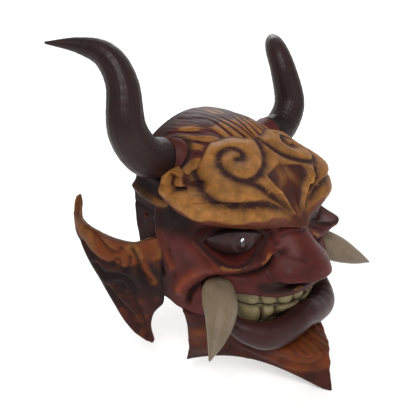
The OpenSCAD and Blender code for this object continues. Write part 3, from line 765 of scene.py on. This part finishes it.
# Painted shade: darker at the horn's foot where it enters its seat and in the fine grooves.
horn_marks = {"worn": share(horn_extra * 1.6), "deep": share(0.9 * (1 - smooth(horn_along / 16))
                                                             - horn_extra),
              "warm": smooth((horn_along - 60) / 90)}
horn_black, p, bsdf, at, cloud, small, colour = clouded(
    "horn_black", 24.0, 160.0, (27, 14, 14), (42, 23, 22), 5.0, 4.0, 0.65)
colour = p.blend((p.mark("warm") * 0.55 * p.between(cloud, 0.2, 0.6)).held(), colour, shade(56, 31, 27))
colour = p.blend((p.between(small, 0.55, 0.8) * 0.35 + p.mark("worn") * 0.3).held(), colour,
                 shade(54, 34, 32))
# Painted shade at the foot and in the grooves.
colour = p.blend((p.mark("deep") * 0.8).held(), colour, shade(28, 18, 20))
finish_with(bsdf, colour, (0.4 + (small - 0.5) * 0.25 + p.mark("deep") * 0.15).held(),
            p.add("Bump", {"Strength": 0.3, "Distance": 0.0005, "Height": small * 0.7
                           + p.mottle(at, 480.0, 3.0, 0.6) * 0.5}), 0.15, 0.4)
for other, side in SIDES:
    horn = carved(side + "_horn_bar", horn_places, horn_faces, horn_marks, other)
    horn.data.materials.append(horn_black)
    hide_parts(side + "_horn")
    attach(horn, "root")

# ---------------------------------------------------------------- tusks
# A tusk is a short fat bar with a rounded foot, painted grey ivory over wood; a bamboo
# pin holds it in the corner of the mouth.


def tusk_swell(along, spin, r):
    foot = -(1 - np.sqrt(np.maximum(0, 1 - (1 - np.minimum(1, along / 9.0)) ** 2))) * 8.5
    ridge = 0.75 * np.exp(-((np.mod(spin - 4.3 + math.pi, 2 * math.pi) - math.pi) / 0.3) ** 2) * smooth(r
            / 6)
    return foot + ridge + (0.1 * np.sin(13 * spin + 0.1 * along) + 0.07 * np.sin(23 * spin)) * smooth(r / 6)


tusk_steps = [(0, 0, 0), (8, -9, -3.5), (17, -20, -9.5), (31, -30, -18), (46, -37.5, -26)]
tusk_places, tusk_faces, tusk_along, tusk_spin, _ = bar(
    tusk_seat + np.array(tusk_steps, float), [11.5, 12.1, 11.5, 7, 0.7], up, 150, 96, tusk_swell)
# Painted shade: the tusk darkens towards its foot, where it goes into the mouth.
tusk_marks = {"deep": share(1 - tusk_along / 9), "yellow": share(np.cos(tusk_spin - 4.3)),
              "tip": smooth((tusk_along - 44) / 16)}
ivory, p, bsdf = new_paint("tusk_ivory")
at = p.add("TexCoord", out=3)
streak = p.mottle(p.add("Mapping", {"Vector": at, "Rotation": (0.3, 0.4, 0.75),
                                    "Scale": (1.0, 0.2, 1.0)}), 190.0, 4.0, 0.6)
cloud = p.mottle(at, 40.0, 4.0, 0.55)
colour = p.blend(p.between(cloud, 0.35, 0.68), shade(122, 107, 88), shade(103, 88, 72))
colour = p.blend((p.mark("yellow") * 0.75).held(), colour, shade(130, 116, 86))
colour = p.blend((p.between(streak, 0.48, 0.72) * 0.4).held(), colour, shade(96, 80, 66))
# Painted shade at the tusk's foot.
colour = p.blend((p.mark("deep") * 0.85).held(), colour, shade(84, 68, 58))
colour = p.blend((p.mark("tip") * 0.35).held(), colour, shade(112, 98, 84))
finish_with(bsdf, colour, (0.4 + (streak - 0.5) * 0.25).held(),
            p.add("Bump", {"Strength": 0.25, "Distance": 0.0005, "Height": streak
                           + p.mottle(at, 300.0, 3.0, 0.6) * 0.5}), 0.15, 0.4)
for other, side in SIDES:
    tusk = carved(side + "_tusk_bar", tusk_places, tusk_faces, tusk_marks, other)
    tusk.data.materials.append(ivory)
    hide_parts(side + "_tusk")
    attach(tusk, "root")

# ---------------------------------------------------------------- eyes
# An eyeball is a thin domed shell cut to the pointed oval of the lids, dark and glossy,
# with a raised ring and an upright slit that the wearer sees through.
pupil_in, GLUE = 5.0, 0.27
across_share = np.linspace(-0.985, 0.985, 121)[None, :]
down_share = np.linspace(-1, 1, 61)[:, None]
eye_across_at = across_share * eye_w / 2 + 0 * down_share
eye_down_at = down_share * (np.sqrt((lid_r + GLUE) ** 2 - eye_across_at ** 2) - (lid_r - eye_h / 2))


def eyeball(across, down, r):
    ahead = np.sqrt(np.maximum(0, r ** 2 - across ** 2 - down ** 2))
    return eye_hub + across[..., None] * eye_across + down[..., None] * eye_down + ahead[...,
            None] * eye_ahead


from_pupil = np.hypot(eye_across_at + pupil_in, eye_down_at)
ring = 0.5 * bump(from_pupil, 8.4, 1.5) - 0.25 * bump(from_pupil, 5.4, 1.4)
eye_outer = eyeball(eye_across_at, eye_down_at, eye_r + ring)
eye_inner = eyeball(eye_across_at[::2, ::2], eye_down_at[::2, ::2], eye_r - 10.0)
eye_marks = shell_marks(eye_inner, ring=share(ring * 1.5), deep=share(np.abs(down_share) ** 6
        + 0 * eye_across_at))
eye_gloss, p, bsdf, at, cloud, small, colour = clouded(
    "eye_gloss", 60.0, 260.0, (44, 25, 25), (58, 35, 34), high=0.65)
# Painted highlight: the raised ring is coloured lighter grey.
colour = p.blend((p.mark("ring") * 0.7).held(), colour, shade(62, 46, 45))
# Painted shade: the eyeball darkens towards its top and bottom edges, under the lids.
colour = p.blend((p.mark("deep") * 0.7).held(), colour, shade(24, 15, 16))
finish_with(bsdf, colour, (0.36 + (small - 0.5) * 0.15 + p.mark("inside") * 0.3).held(),
            p.add("Bump", {"Strength": 0.12, "Distance": 0.0004, "Height": small}), 0.12, 0.2)
slit = [(1.5 * math.cos(t) + math.copysign(2.25, math.cos(t)), 1.5 * math.sin(t)) for t in np.linspace(0,
        2 * math.pi, 41)[:-1]]
for other, side in SIDES:
    eye = shell(side + "_eyeball", eye_outer, eye_inner, eye_marks, other)
    tilt = -eye_down * math.cos(0.14) + eye_across * math.sin(0.14)
    cut_with(eye, [drum("pupil_" + side, slit, 0, 50, eye_hub - pupil_in * eye_across, eye_ahead, tilt,
                        other),
                   drum("sight_" + side, disk(5.25), 0, eye_r - 3, eye_hub - pupil_in * eye_across,
                        eye_ahead, tilt, other)])
    eye.data.materials.clear()
    eye.data.materials.append(eye_gloss)
    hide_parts(side + "_eye")
    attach(eye, "root")

# ---------------------------------------------------------------- teeth
# Two rows of separately rounded teeth of uneven width on a thin gum strip, painted olive
# ivory; the upper row is let in behind the upper lip, the lower row behind the lower lip.
STRIP_TURN, STRIP_ROWS = 38, 13


def bite(a):
    return LIP_EDGE - 14.0 + 6.0 * smooth(np.abs(a) / 36)


def tooth_front(a, z, inset):
    return polar(a, z, plan_radius(a, z, inset + 7 * smooth((np.abs(a) - 28) / 12)) + snout(a, z))


def power(v, e):
    return np.sign(v) * np.abs(v) ** e


def tooth(start, end, low, high, seed, round_foot):
    """A rounded block between two places round the arch and two heights."""
    draw = np.random.default_rng(seed)
    spin = np.linspace(0, 2 * math.pi, 40, endpoint=False)[None, :]
    lift = np.linspace(-math.pi / 2 + 0.03, math.pi / 2 - 0.03, 25)[:, None]
    e = np.where(lift < 0, round_foot[0], round_foot[1])
    across = power(np.cos(lift), e) * power(np.cos(spin), 0.55)
    depth = power(np.cos(lift), e) * power(np.sin(spin), 0.5)
    height = power(np.sin(lift), 0.8) + 0 * spin
    middle, half_w = (start + end) / 2, (end - start) / 2 - 0.28
    c = middle + across * half_w * (1 - 0.06 * height * draw.uniform(-1,
            1.0)) + 0.35 * height * draw.uniform(-1, 1)
    a = np.degrees(c / FACE_HALF_W)
    z = mix(low(a), high(a), 0.5) + height * (high(a) - low(a)) / 2
    out = 4.0 * depth + draw.uniform(-0.3, 0.7) - 0.12 * (across * half_w) ** 2 / max(half_w, 4)
    places = tooth_front(a, z, 12.0 - out)
    faces = tube_faces(steps=lift.size, sides=spin.size)
    # Painted shade: each tooth is darker towards its sides, ends and back, where it meets its neighbours
    # and the strip behind.
    edge = share(np.maximum(np.abs(across), np.abs(height)) ** 5 * 0.8 + 0.5 * (depth < 0))
    return places.reshape(-1, 3), faces, edge.ravel(), np.full(spin.size * lift.size, draw.uniform(0, 1))


def tooth_row(name, spans, low, high, round_foot, seed, ledge_in):
    places, faces, edge_shade, tones, base = [], [], [], [], 0
    for i, (start, end) in enumerate(spans):
        p, f, e, t = tooth(start, end, low, high, seed + i, round_foot)
        places.append(p)
        faces += [[v + base for v in corners] for corners in f]
        edge_shade.append(e)
        tones.append(t)
        base += len(p)
    a = np.linspace(-STRIP_TURN, STRIP_TURN, 121)[None, :].repeat(STRIP_ROWS, 0)
    gum_z = mix(low(a), high(a), np.linspace(0.04, 0.999, STRIP_ROWS)[:, None])
    ledge_z = mix(bite(a) - 4.0, bite(a) + 3.2, np.linspace(0, 1, STRIP_ROWS)[:, None])
    for z, front_in, back_in in ((gum_z, 11.6, 15.5), (ledge_z, ledge_in, ledge_in + 1.2)):
        front, back = tooth_front(a, z, front_in), tooth_front(a[::2, ::2], z[::2, ::2], back_in)
        faces += [[v + base for v in corners] for corners in closed_grid(front, back)]
        places += [front.reshape(-1, 3), back.reshape(-1, 3)]
        count = front.size // 3 + back.size // 3
        base += count
        # The gum strip and the ledge behind the teeth are painted dark all over, as painted shade.
        edge_shade.append(np.ones(count))
        tones.append(np.zeros(count))
    return carved(name, np.concatenate(places), faces, {"deep": np.concatenate(edge_shade),
                                                        "tone": np.concatenate(tones)})


tooth_ivory, p, bsdf, at, cloud, small, colour = clouded(
    "tooth_ivory", 70.0, 320.0, (146, 134, 102), (116, 104, 76))
colour = p.blend((p.mark("tone") * 0.45).held(), colour, shade(142, 126, 88))
colour = p.blend((p.between(small, 0.5, 0.75) * 0.3).held(), colour, shade(92, 84, 54))
# Painted shade at the teeth's edges and on the strips behind them.
colour = p.blend((p.mark("deep") * 0.85 * p.between(cloud + 0.4, 0.5, 1.0)).held(), colour,
                 shade(52, 42, 30))
finish_with(bsdf, colour, (0.42 + (small - 0.5) * 0.2 + p.mark("deep") * 0.2).held(),
            p.add("Bump", {"Strength": 0.2, "Distance": 0.0004, "Height": small + cloud * 0.5}), 0.12, 0.35)
upper_spans = [(-51, -33), (-33, -20.5), (-20.5, -7), (-7, 7), (7, 20.5), (20.5, 33), (33, 51)]
lower_spans = [(-50, -32.5), (-32.5, -22.5), (-22.5, 4.5), (4.5, 19.5), (19.5, 32.5), (32.5, 50)]
upper_row = tooth_row("upper_teeth_row", upper_spans, lambda a: bite(a) + 0.3, lambda a: shell_low(a)
                      + 4.0, (0.8, 0.5), 40, 15.6)
lower_row = tooth_row("lower_teeth_row", lower_spans, lambda a: -84.0 + 3 * smooth(np.abs(a) / 40),
                      lambda a: bite(a) - 0.3, (0.7, 0.45), 60, 17.2)
for row, node in ((upper_row, "upper_teeth"), (lower_row, "lower_teeth")):
    row.data.materials.append(tooth_ivory)
    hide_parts(node)
    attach(row, "root")

# ---------------------------------------------------------------- lower lip
# One thick roll of wood bent round the lower teeth, dark purple-brown and a little
# glossy, pinned to the chin from inside.


def lip_swell(along, spin, r):
    folds = 0.16 * np.sin(along / 1.9 + 0.8 * np.sin(spin)) * np.cos(spin) ** 2
    return folds + 0.35 * np.sin(2 * spin + 0.6) + 0.25 * np.sin(along / 11 + spin)


lip_path = [(-57, -59, -65), (-53, -74, -77), (-38, -88, -84), (-19, -94, -83), (0, -95, -80),
            (19, -94, -83), (38, -88, -84), (53, -74, -77), (57, -59, -65)]
lip_places, lip_faces, lip_along, lip_spin, lip_extra = bar(
    np.array(lip_path, float), [5, 8, 11, 11, 11, 11, 11, 8, 5], up, 240, 72, lip_swell)
lip_end = lip_along.max()
# Painted shade: both ends of the roll, where it meets the face, and its underside are darkened.
lip = carved("lower_lip_roll", lip_places, lip_faces,
             {"worn": share(0.5 + lip_extra), "deep": share(smooth((14 - lip_along) / 12)
                                                            + smooth((lip_along - lip_end + 14) / 12)
                                                                     + 0.6 * smooth((-np.cos(lip_spin)
                                                                             - 0.35) / 0.5))})
lip_purple, p, bsdf, at, cloud, small, colour = clouded(
    "lip_purple", 34.0, 180.0, (56, 26, 26), (42, 18, 18), 5.0, 4.0)
colour = p.blend((p.between(small, 0.52, 0.78) * 0.35 + p.mark("worn") * 0.15).held(), colour,
                 shade(64, 36, 35))
# Painted shade at the ends and underside.
colour = p.blend((p.mark("deep") * 0.8).held(), colour, shade(44, 22, 22))
finish_with(bsdf, colour, (0.42 + (small - 0.5) * 0.2).held(),
            p.add("Bump", {"Strength": 0.25, "Distance": 0.0005, "Height": small * 0.7
                           + p.mottle(at, 520.0, 2.0, 0.6) * 0.4}), 0.15, 0.35)
lip.data.materials.append(lip_purple)
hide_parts("lower_lip")
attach(lip, "root")

# ---------------------------------------------------------------- chin
# The chin is a bent and pointed apron of board, carved with a scroll each side of its
# keel, lacquered orange-brown over dark red and pinned up into the jaw.
CHIN_TOP, CHIN_TURN, CHIN_T = -84.0, 66.0, 6.0


def nearest(flat, lines):
    """Distance from each place to the nearest of several carving lines."""
    return np.minimum.reduce([apart(flat, line(points))[0] for points in lines])


def chin_place(a, s, inset):
    q = np.abs(a) / CHIN_TURN
    top = mix(CHIN_TOP, shell_low(a) - 0.3, smooth((np.abs(a) - 38) / 14))
    room = (8 + 4 * bump(np.abs(a), 44, 8)) * (1 - smooth((np.abs(a) - 50) / 12))
    head = polar(a, top, plan_radius(a, top, inset + room))
    foot = np.stack([np.sign(a) * mix(0, 70 - inset, q), mix(-126 + 1.6 * inset, -34.0, q),
                     mix(-117.0, -137.0, (1 - q) ** 1.6) + 11 * np.sin(math.pi * q ** 1.15)], -1)
    place = head + s[..., None] * (foot - head)
    jut = mix(22, 3, smooth(q * 1.5)) * smooth((-92 - place[..., 2]) / 10) * np.minimum(1, (1 - s) / 0.6)
    jut = jut + 6 * np.sin(math.pi * s ** 0.6) * smooth((q - 0.7) / 0.3)
    return place - np.stack([0 * jut, jut, 0 * jut], -1)


chin_rows, chin_cols = 141, 241
chin_a = np.linspace(-CHIN_TURN, CHIN_TURN, chin_cols)[None, :].repeat(chin_rows, 0)
chin_s = np.linspace(1, 0, chin_rows)[:, None].repeat(chin_cols, 1)
chin_plain = chin_place(chin_a, chin_s, 0.0)
slope_a, slope_s = np.gradient(chin_plain, axis=1), np.gradient(chin_plain, axis=0)
chin_out = np.cross(slope_a, slope_s)
chin_out /= np.linalg.norm(chin_out, axis=-1, keepdims=True)
chin_flat = np.stack([np.degrees(np.arctan2(np.abs(chin_plain[..., 0]), hub_y(chin_plain[..., 2])
                                            - chin_plain[..., 1])) * FACE_HALF_W * math.pi / 180,
                      chin_plain[..., 2]], -1)
chin_lines = [[(30, -91), (22, -94), (17.5, -98), (16, -103), (11, -105.5), (7, -102.5), (6.5, -98),
               (10, -95.5), (13, -98), (12, -101)],
              [(46, -96), (34, -101), (25, -107), (17, -111), (8, -110.5), (3, -105), (2, -96), (2, -90)],
              [(60, -100), (46, -105), (32, -112), (20, -118), (8, -120), (1, -117)]]
chin_d = nearest(chin_flat, chin_lines)
chin_edge = smooth((1 - chin_s) / 0.05) * smooth(chin_s / 0.03)
chin_cut = 1.2 - 1.2 * beside(chin_d, 3.6) + 0.25 * ripple(chin_plain, 14, 51)
chin_cut *= chin_edge
chin_outer = chin_plain + chin_cut[..., None] * chin_out
chin_inner = chin_place(chin_a[::2, ::2], chin_s[::2, ::2], CHIN_T)
chin_worn, chin_hollow_shade = relief_marks(chin_cut, 20, 0.9)
chin_c, chin_z = chin_flat[..., 0], chin_flat[..., 1]
chin_glow = share(1.1 * smooth((40 - chin_c) / 18) * smooth((chin_z + 122 + 0.25 * chin_c) / 10)
                  + 0.8 * bump(chin_c, 80, 8) * bump(chin_z, -88, 8)
                    + 0.3 * ripple(chin_plain, 16, 53))
# Painted shade: the board darkens towards its lower edge and in its carved grooves.
chin_marks = shell_marks(chin_inner, ochre=0.42 * share(chin_glow) * bump(chin_c, 5, 7) * bump(chin_z,
        -98, 12), orange=chin_glow,
                         night=0.7 * smooth((chin_s - 0.9) / 0.1) + 0 * chin_a, worn=chin_worn,
                         deep=share(0.8 * chin_hollow_shade + 0.25 * beside(chin_d, 1.6)))
chin = shell("chin_board", chin_outer, chin_inner, chin_marks)
chin.data.materials.append(lacquer("chin_lacquer", (60, 22, 15), (44, 16, 12), (126, 72, 28),
                                   (102, 46, 14), (26, 11, 9), (70, 32, 22), 0.56))
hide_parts("chin_apron")
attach(chin, "root")

# ---------------------------------------------------------------- wings
# Each wing is one board bent back beside the cheek, cut to a hooked flame outline and
# carved with lobes and curls outside; two bamboo pins hold its planed root to the face.
WING_T, PLANED, WING_FIRST, WING_LAST = 5.0, 0.7, 0.15, 11.9
wing_plan = np.array([FACE_HALF_W, RIM_BACK]) + np.array(
    [(-4, -30), (4, -19), (11.5, -10), (18, 1), (23, 13), (26, 27), (25, 40), (19, 50), (12, 58)], float)
wing_in = [(8, 5), (7, -4.5), (6, -9), (4.5, -14), (3, -18.5), (1.6, -19.5), (0, -13), (0, -30),
           (0, -48), (0, -66), (0.7, -79), (1, -93), (0.8, -108)]
wing_out = [(8, 5), (7.5, -1), (7, -6), (6.5, -13), (6, -21), (5.5, -31), (4.9, -42), (4.3, -53),
            (3.8, -64), (3.3, -75), (2.8, -86), (2.1, -97), (0.8, -108)]
wing_rows, wing_cols = 221, 81
wing_v = np.linspace(WING_FIRST, WING_LAST, wing_rows)[:, None]
wing_j = np.linspace(0, 1, wing_cols)[None, :]
wing_e = mix(curve(wing_in, wing_v[:, 0])[:, None, :], curve(wing_out, wing_v[:, 0])[:, None, :],
             wing_j[..., None])
wing_k, wing_z = wing_e[..., 0], wing_e[..., 1]
wing_at = curve(wing_plan, wing_k)
wing_way = curve(wing_plan, np.minimum(8, wing_k + 0.05)) - curve(wing_plan, np.maximum(0, wing_k - 0.05))
wing_way = np.stack([wing_way[..., 1], -wing_way[..., 0]], -1)
wing_way /= np.linalg.norm(wing_way, axis=-1, keepdims=True)
plan_k = np.linspace(0, 8, 161)
plan_run = np.concatenate([[0], np.cumsum(np.linalg.norm(np.diff(curve(wing_plan, plan_k), axis=0),
                                                         axis=1))])
wing_s = np.interp(wing_k, plan_k, plan_run)
wing_flat = np.stack([wing_s, wing_z], -1)
wing_lines = [[(66, -12), (58, -15), (52, -18), (47, -23), (42, -27), (36, -27), (33, -24)],
              [(70, -26), (61, -33), (52, -37), (45, -38.5), (40, -37), (37, -33.5), (34.5, -35),
               (35.5, -39.5), (31, -41.5), (27.5, -38), (26, -31)],
              [(24, -24), (21, -32), (18, -42), (11, -50)],
              [(56, -42), (49, -48), (41, -47), (33, -48), (27, -52), (24, -59), (28, -64), (35, -62.5),
               (39, -58.5), (37, -54.5), (32.5, -56)],
              [(46, -60), (38, -70), (30, -79), (22, -89), (14, -98)],
              [(25, -66), (21, -77), (17, -88), (10, -101)]]
wing_d = nearest(wing_flat, wing_lines)
wing_rim = smooth(np.minimum(wing_j, 1 - wing_j) / 0.06) * smooth((wing_v - WING_FIRST)
        / 0.25) * smooth((WING_LAST - wing_v) / 0.3)
wing_cut = (1.6 - 2.0 * beside(wing_d, 3.4) - 0.4 * beside(wing_d, 1.3)
            + 0.25 * ripple(np.concatenate([wing_flat, 0 * wing_s[..., None]], -1), 12, 61)) * wing_rim
thick = mix(0.6, WING_T / 2, smooth(wing_v)) + 0 * wing_j


def wing_face(side, extra):
    flat = wing_at + (side * thick + extra)[..., None] * wing_way
    return np.stack([np.maximum(flat[..., 0], FACE_HALF_W - PLANED), flat[..., 1], wing_z], -1)


wing_outer, wing_back = wing_face(1, wing_cut), wing_face(-1, -0.3 * np.abs(np.sin(wing_s / 2.2))
                                                          * wing_rim)[::2, ::2]
wing_worn, wing_hollow_shade = relief_marks(wing_cut, 20, 1.0)
lobe_foot = np.interp(wing_s, [0, 24, 31, 36, 40, 45, 52, 60, 68, 84], [-30, -38, -41, -39, -36.5, -38,
        -36, -31, -24, -8])
lobes = smooth((wing_z - lobe_foot) / 3 + 0.3)
wing_band, _ = apart(wing_flat, line([(19, -22), (17, -32), (13, -43), (9, -50)]))
lobes = np.maximum(lobes, np.exp(-(wing_band / 3.6) ** 4))
wing_ochre = lobes * share(0.35 + 0.5 * ripple(wing_outer, 15, 63) + 0.8 * smooth((wing_s - 52) / 20)
                           + 0.5 * wing_worn) * 0.55
# Painted shade: the wing darkens in its middle below the lobes, along its back edge and in its carved
# grooves.
wing_night = (1 - lobes) * bump(wing_z, -50, 17) * 0.9
wing_marks = shell_marks(wing_back, ochre=wing_ochre,
        orange=share(lobes + 0.45 * smooth(ripple(wing_outer, 13, 65))),
                         night=share(wing_night + 0.6 * smooth((0.1 - (1 - wing_j)) / 0.1)), worn=wing_worn,
                         deep=share(0.8 * wing_hollow_shade + 0.25 * beside(wing_d, 1.6)))
wing_lacquer = lacquer("wing_lacquer", (56, 20, 17), (40, 15, 13), (128, 78, 32), (102, 48, 16),
                       (22, 11, 10), (66, 32, 25), 0.56)
for other, side in SIDES:
    wing = shell(side + "_wing_board", wing_outer, wing_back, wing_marks, other)
    wing.data.materials.append(wing_lacquer)
    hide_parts(side + "_wing")
    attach(wing, "root")

# ---------------------------------------------------------------- pads
# Three small cushions of undyed cotton, filled with floss and stitched round the rim, are
# glued inside the forehead and the cheeks where the mask rests on the wearer's face.
PUFF, STITCHES, THREAD_R, SEAM_POINTS, CLOTH_FRAMES = 1.4, 44, 0.00035, 96, 20
cotton, p, bsdf = new_paint("cotton")
at = p.add("TexCoord", out=3)
warp = p.add("TexWave", {"Vector": at, "Scale": 620.0, "Distortion": 1.2, "Detail": 1.0},
             bands_direction="X")
weft = p.add("TexWave", {"Vector": at, "Scale": 620.0, "Distortion": 1.2, "Detail": 1.0},
             bands_direction="Z")
worn_cloth = p.mottle(at, 60.0, 5.0, 0.6)
colour = p.blend(p.between(worn_cloth, 0.35, 0.7), shade(214, 204, 182), shade(182, 168, 142))
colour = p.blend((p.between(warp * 0.5 + weft * 0.5, 0.2, 0.6) * 0.25).held(), colour, shade(150, 136, 112))
finish_with(bsdf, colour, (0.86 + (worn_cloth - 0.5) * 0.1).held(),
            p.add("Bump", {"Strength": 0.5, "Distance": 0.0003, "Height": warp * 0.5 + weft * 0.5}))
thread, p, bsdf = new_paint("thread")
at = p.add("TexCoord", out=3)
twist = p.add("TexWave", {"Vector": at, "Scale": 900.0, "Distortion": 2.0, "Detail": 1.0},
              bands_direction="DIAGONAL")
finish_with(bsdf, p.blend(twist.held(), shade(112, 40, 34), shade(140, 62, 50)), (0.7 + twist * 0.1).held(),
            p.add("Bump", {"Strength": 0.4, "Distance": 0.0002, "Height": twist}))


def stitch_nodes():
    """Short threads laid along a closed seam: geometry in, with a count and a thread radius."""
    tree = bpy.data.node_groups.new("stitches", "GeometryNodeTree")
    tree.interface.new_socket("Geometry", in_out="INPUT", socket_type="NodeSocketGeometry")
    count = tree.interface.new_socket("Stitches", in_out="INPUT", socket_type="NodeSocketInt")
    radius = tree.interface.new_socket("Thread Radius", in_out="INPUT", socket_type="NodeSocketFloat")
    tree.interface.new_socket("Geometry", in_out="OUTPUT", socket_type="NodeSocketGeometry")

    def node(kind, **settings):
        made = tree.nodes.new(kind)
        for name, value in settings.items():
            setattr(made, name, value)
        return made

    start, end = node("NodeGroupInput"), node("NodeGroupOutput")
    seam, rows_of = node("GeometryNodeMeshToCurve"), node("GeometryNodeCurveToPoints", mode="COUNT")
    one = node("GeometryNodeMeshCylinder")
    place, slant = node("GeometryNodeInstanceOnPoints"), node("FunctionNodeRandomValue", data_type="FLOAT")
    along = node("FunctionNodeAlignRotationToVector", axis="Z")
    real, paint = node("GeometryNodeRealizeInstances"), node("GeometryNodeSetMaterial")
    one.inputs["Vertices"].default_value, one.inputs["Depth"].default_value = 10, 0.0021
    for socket, value in (("Min", 0.85), ("Max", 1.1), ("Seed", 4)):
        slant.inputs[socket].default_value = value
    paint.inputs["Material"].default_value = thread
    link = tree.links.new
    link(start.outputs["Geometry"], seam.inputs["Mesh"])
    link(seam.outputs["Curve"], rows_of.inputs["Curve"])
    link(start.outputs["Stitches"], rows_of.inputs["Count"])
    link(start.outputs["Thread Radius"], one.inputs["Radius"])
    link(rows_of.outputs["Points"], place.inputs["Points"])
    link(one.outputs["Mesh"], place.inputs["Instance"])
    link(rows_of.outputs["Tangent"], along.inputs["Vector"])
    link(along.outputs["Rotation"], place.inputs["Rotation"])
    link(slant.outputs["Value"], place.inputs["Scale"])
    link(place.outputs["Instances"], real.inputs["Geometry"])
    link(real.outputs["Geometry"], paint.inputs["Geometry"])
    link(paint.outputs["Geometry"], end.inputs["Geometry"])
    return tree, count.identifier, radius.identifier


def evaluated(piece):
    made = bpy.data.meshes.new_from_object(piece.evaluated_get(bpy.context.evaluated_depsgraph_get()))
    piece.modifiers.clear()
    piece.data = made


stitches, count_socket, radius_socket = stitch_nodes()
for node in ("forehead_pad", "left_cheek_pad", "right_cheek_pad"):
    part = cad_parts[node]
    cushion = bpy.data.objects.new(node + "_cushion", part.data.copy())
    bpy.context.scene.collection.objects.link(cushion)
    loops = cushion.modifiers.new("even", "REMESH")
    loops.mode, loops.voxel_size = "VOXEL", 0.0016
    evaluated(cushion)
    before = np.array([v.co for v in cushion.data.vertices])
    blow = cushion.modifiers.new("floss", "CLOTH")
    blow.settings.quality, blow.settings.mass = 6, 0.2
    blow.settings.use_pressure, blow.settings.uniform_pressure_force = True, 4.0
    blow.settings.effector_weights.gravity = 0.0
    blow.point_cache.frame_start, blow.point_cache.frame_end = 1, CLOTH_FRAMES
    for step in range(1, CLOTH_FRAMES + 1):
        bpy.context.scene.frame_set(step)
    evaluated(cushion)
    bpy.context.scene.frame_set(1)
    after = np.array([v.co for v in cushion.data.vertices])
    move = after - before
    far = np.linalg.norm(move, axis=1, keepdims=True)
    move *= np.minimum(1, PUFF * MM / np.maximum(far, 1e-9))
    middle = before.mean(0)
    crease = 0.00025 * np.sin(before[:, :1] / 0.0031 + 2 * np.sin(before[:, 2:] / 0.004))
    outward = (before - middle) / np.linalg.norm(before - middle, axis=1, keepdims=True)
    cushion.data.vertices.foreach_set("co", (before + 0.6 * move + crease * outward).ravel())
    fine_step = cushion.modifiers.new("fine", "SUBSURF")
    fine_step.levels = fine_step.render_levels = 1
    evaluated(cushion)
    cushion.data.shade_smooth()
    cushion.data.materials.clear()
    cushion.data.materials.append(cotton)
    skin_at = np.array([v.co for v in cushion.data.vertices])
    low, high = skin_at.min(0), skin_at.max(0)
    round_turn = np.linspace(0, 2 * math.pi, SEAM_POINTS, endpoint=False)
    across = np.array([high[0] - low[0], high[1] - low[1], 0.0])
    across[1] *= -1 if node == "left_cheek_pad" else 1
    if node == "forehead_pad":
        across[1] = 0
    centre = (low + high) / 2
    seam = []
    for spin_at in round_turn:
        c, d = math.cos(spin_at), math.sin(spin_at)
        want = centre + 0.47 * math.copysign(abs(c) ** 0.5, c) * across + np.array([0, 0,
                0.47 * math.copysign(abs(d) ** 0.5, d) * (high[2] - low[2])])
        seam.append(skin_at[np.argmin(((skin_at - want) ** 2).sum(1))])
    seam = np.array(seam)
    for _ in range(3):
        seam = (np.roll(seam, 1, 0) + 2 * seam + np.roll(seam, -1, 0)) / 4
    seam_mesh = bpy.data.meshes.new(node + "_seam")
    seam_mesh.from_pydata(seam.tolist(), [(i, (i + 1) % SEAM_POINTS) for i in range(SEAM_POINTS)], [])
    sewn = bpy.data.objects.new(node + "_stitches", seam_mesh)
    bpy.context.scene.collection.objects.link(sewn)
    sew = sewn.modifiers.new("sew", "NODES")
    sew.node_group = stitches
    sew[count_socket], sew[radius_socket] = STITCHES, THREAD_R
    evaluated(sewn)
    whole = bmesh.new()
    whole.from_mesh(cushion.data)
    cloth_faces = len(whole.faces)
    whole.from_mesh(sewn.data)
    for patch in list(whole.faces)[cloth_faces:]:
        patch.material_index = 1
    whole.to_mesh(cushion.data)
    whole.free()
    cushion.data.materials.append(thread)
    bpy.data.objects.remove(sewn)
    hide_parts(node)
    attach(cushion, "root")

# ---------------------------------------------------------------- pins and dowels
# The turned hardwood dowels of the horns and the split bamboo pins stay as they are and
# are finished as bare wood with a close straight grain.


def bare_wood(name, light, dark, rings, pores):
    material, p, bsdf = new_paint(name)
    at = p.add("TexCoord", out=3)
    grain_lines = p.add("TexWave", {"Vector": p.add("Mapping", {"Vector": at, "Scale": (0.3, 1.0, 1.0)}),
                                    "Scale": rings, "Distortion": 3.0, "Detail": 3.0})
    pore = p.mottle(p.add("Mapping", {"Vector": at, "Scale": (0.15, 1.0, 1.0)}), pores, 3.0, 0.6)
    tone = p.blend(p.between(grain_lines, 0.2, 0.8), shade(*light), shade(*dark))
    tone = p.blend((p.between(pore, 0.55, 0.8) * 0.4).held(), tone, shade(*[v * 0.6 for v in dark]))
    finish_with(bsdf, tone, (0.5 + (pore - 0.5) * 0.2).held(),
                p.add("Bump", {"Strength": 0.3, "Distance": 0.0003, "Height": pore}))
    return material


dowel_wood = bare_wood("dowel_wood", (190, 148, 98), (146, 106, 64), 160.0, 700.0)
bamboo = bare_wood("bamboo", (206, 178, 118), (172, 140, 84), 420.0, 1400.0)
for node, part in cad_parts.items():
    if node.endswith(("_dowel", "pins", "_pin")):
        part.data.materials.clear()
        part.data.materials.append(dowel_wood if node.endswith("_dowel") else bamboo)
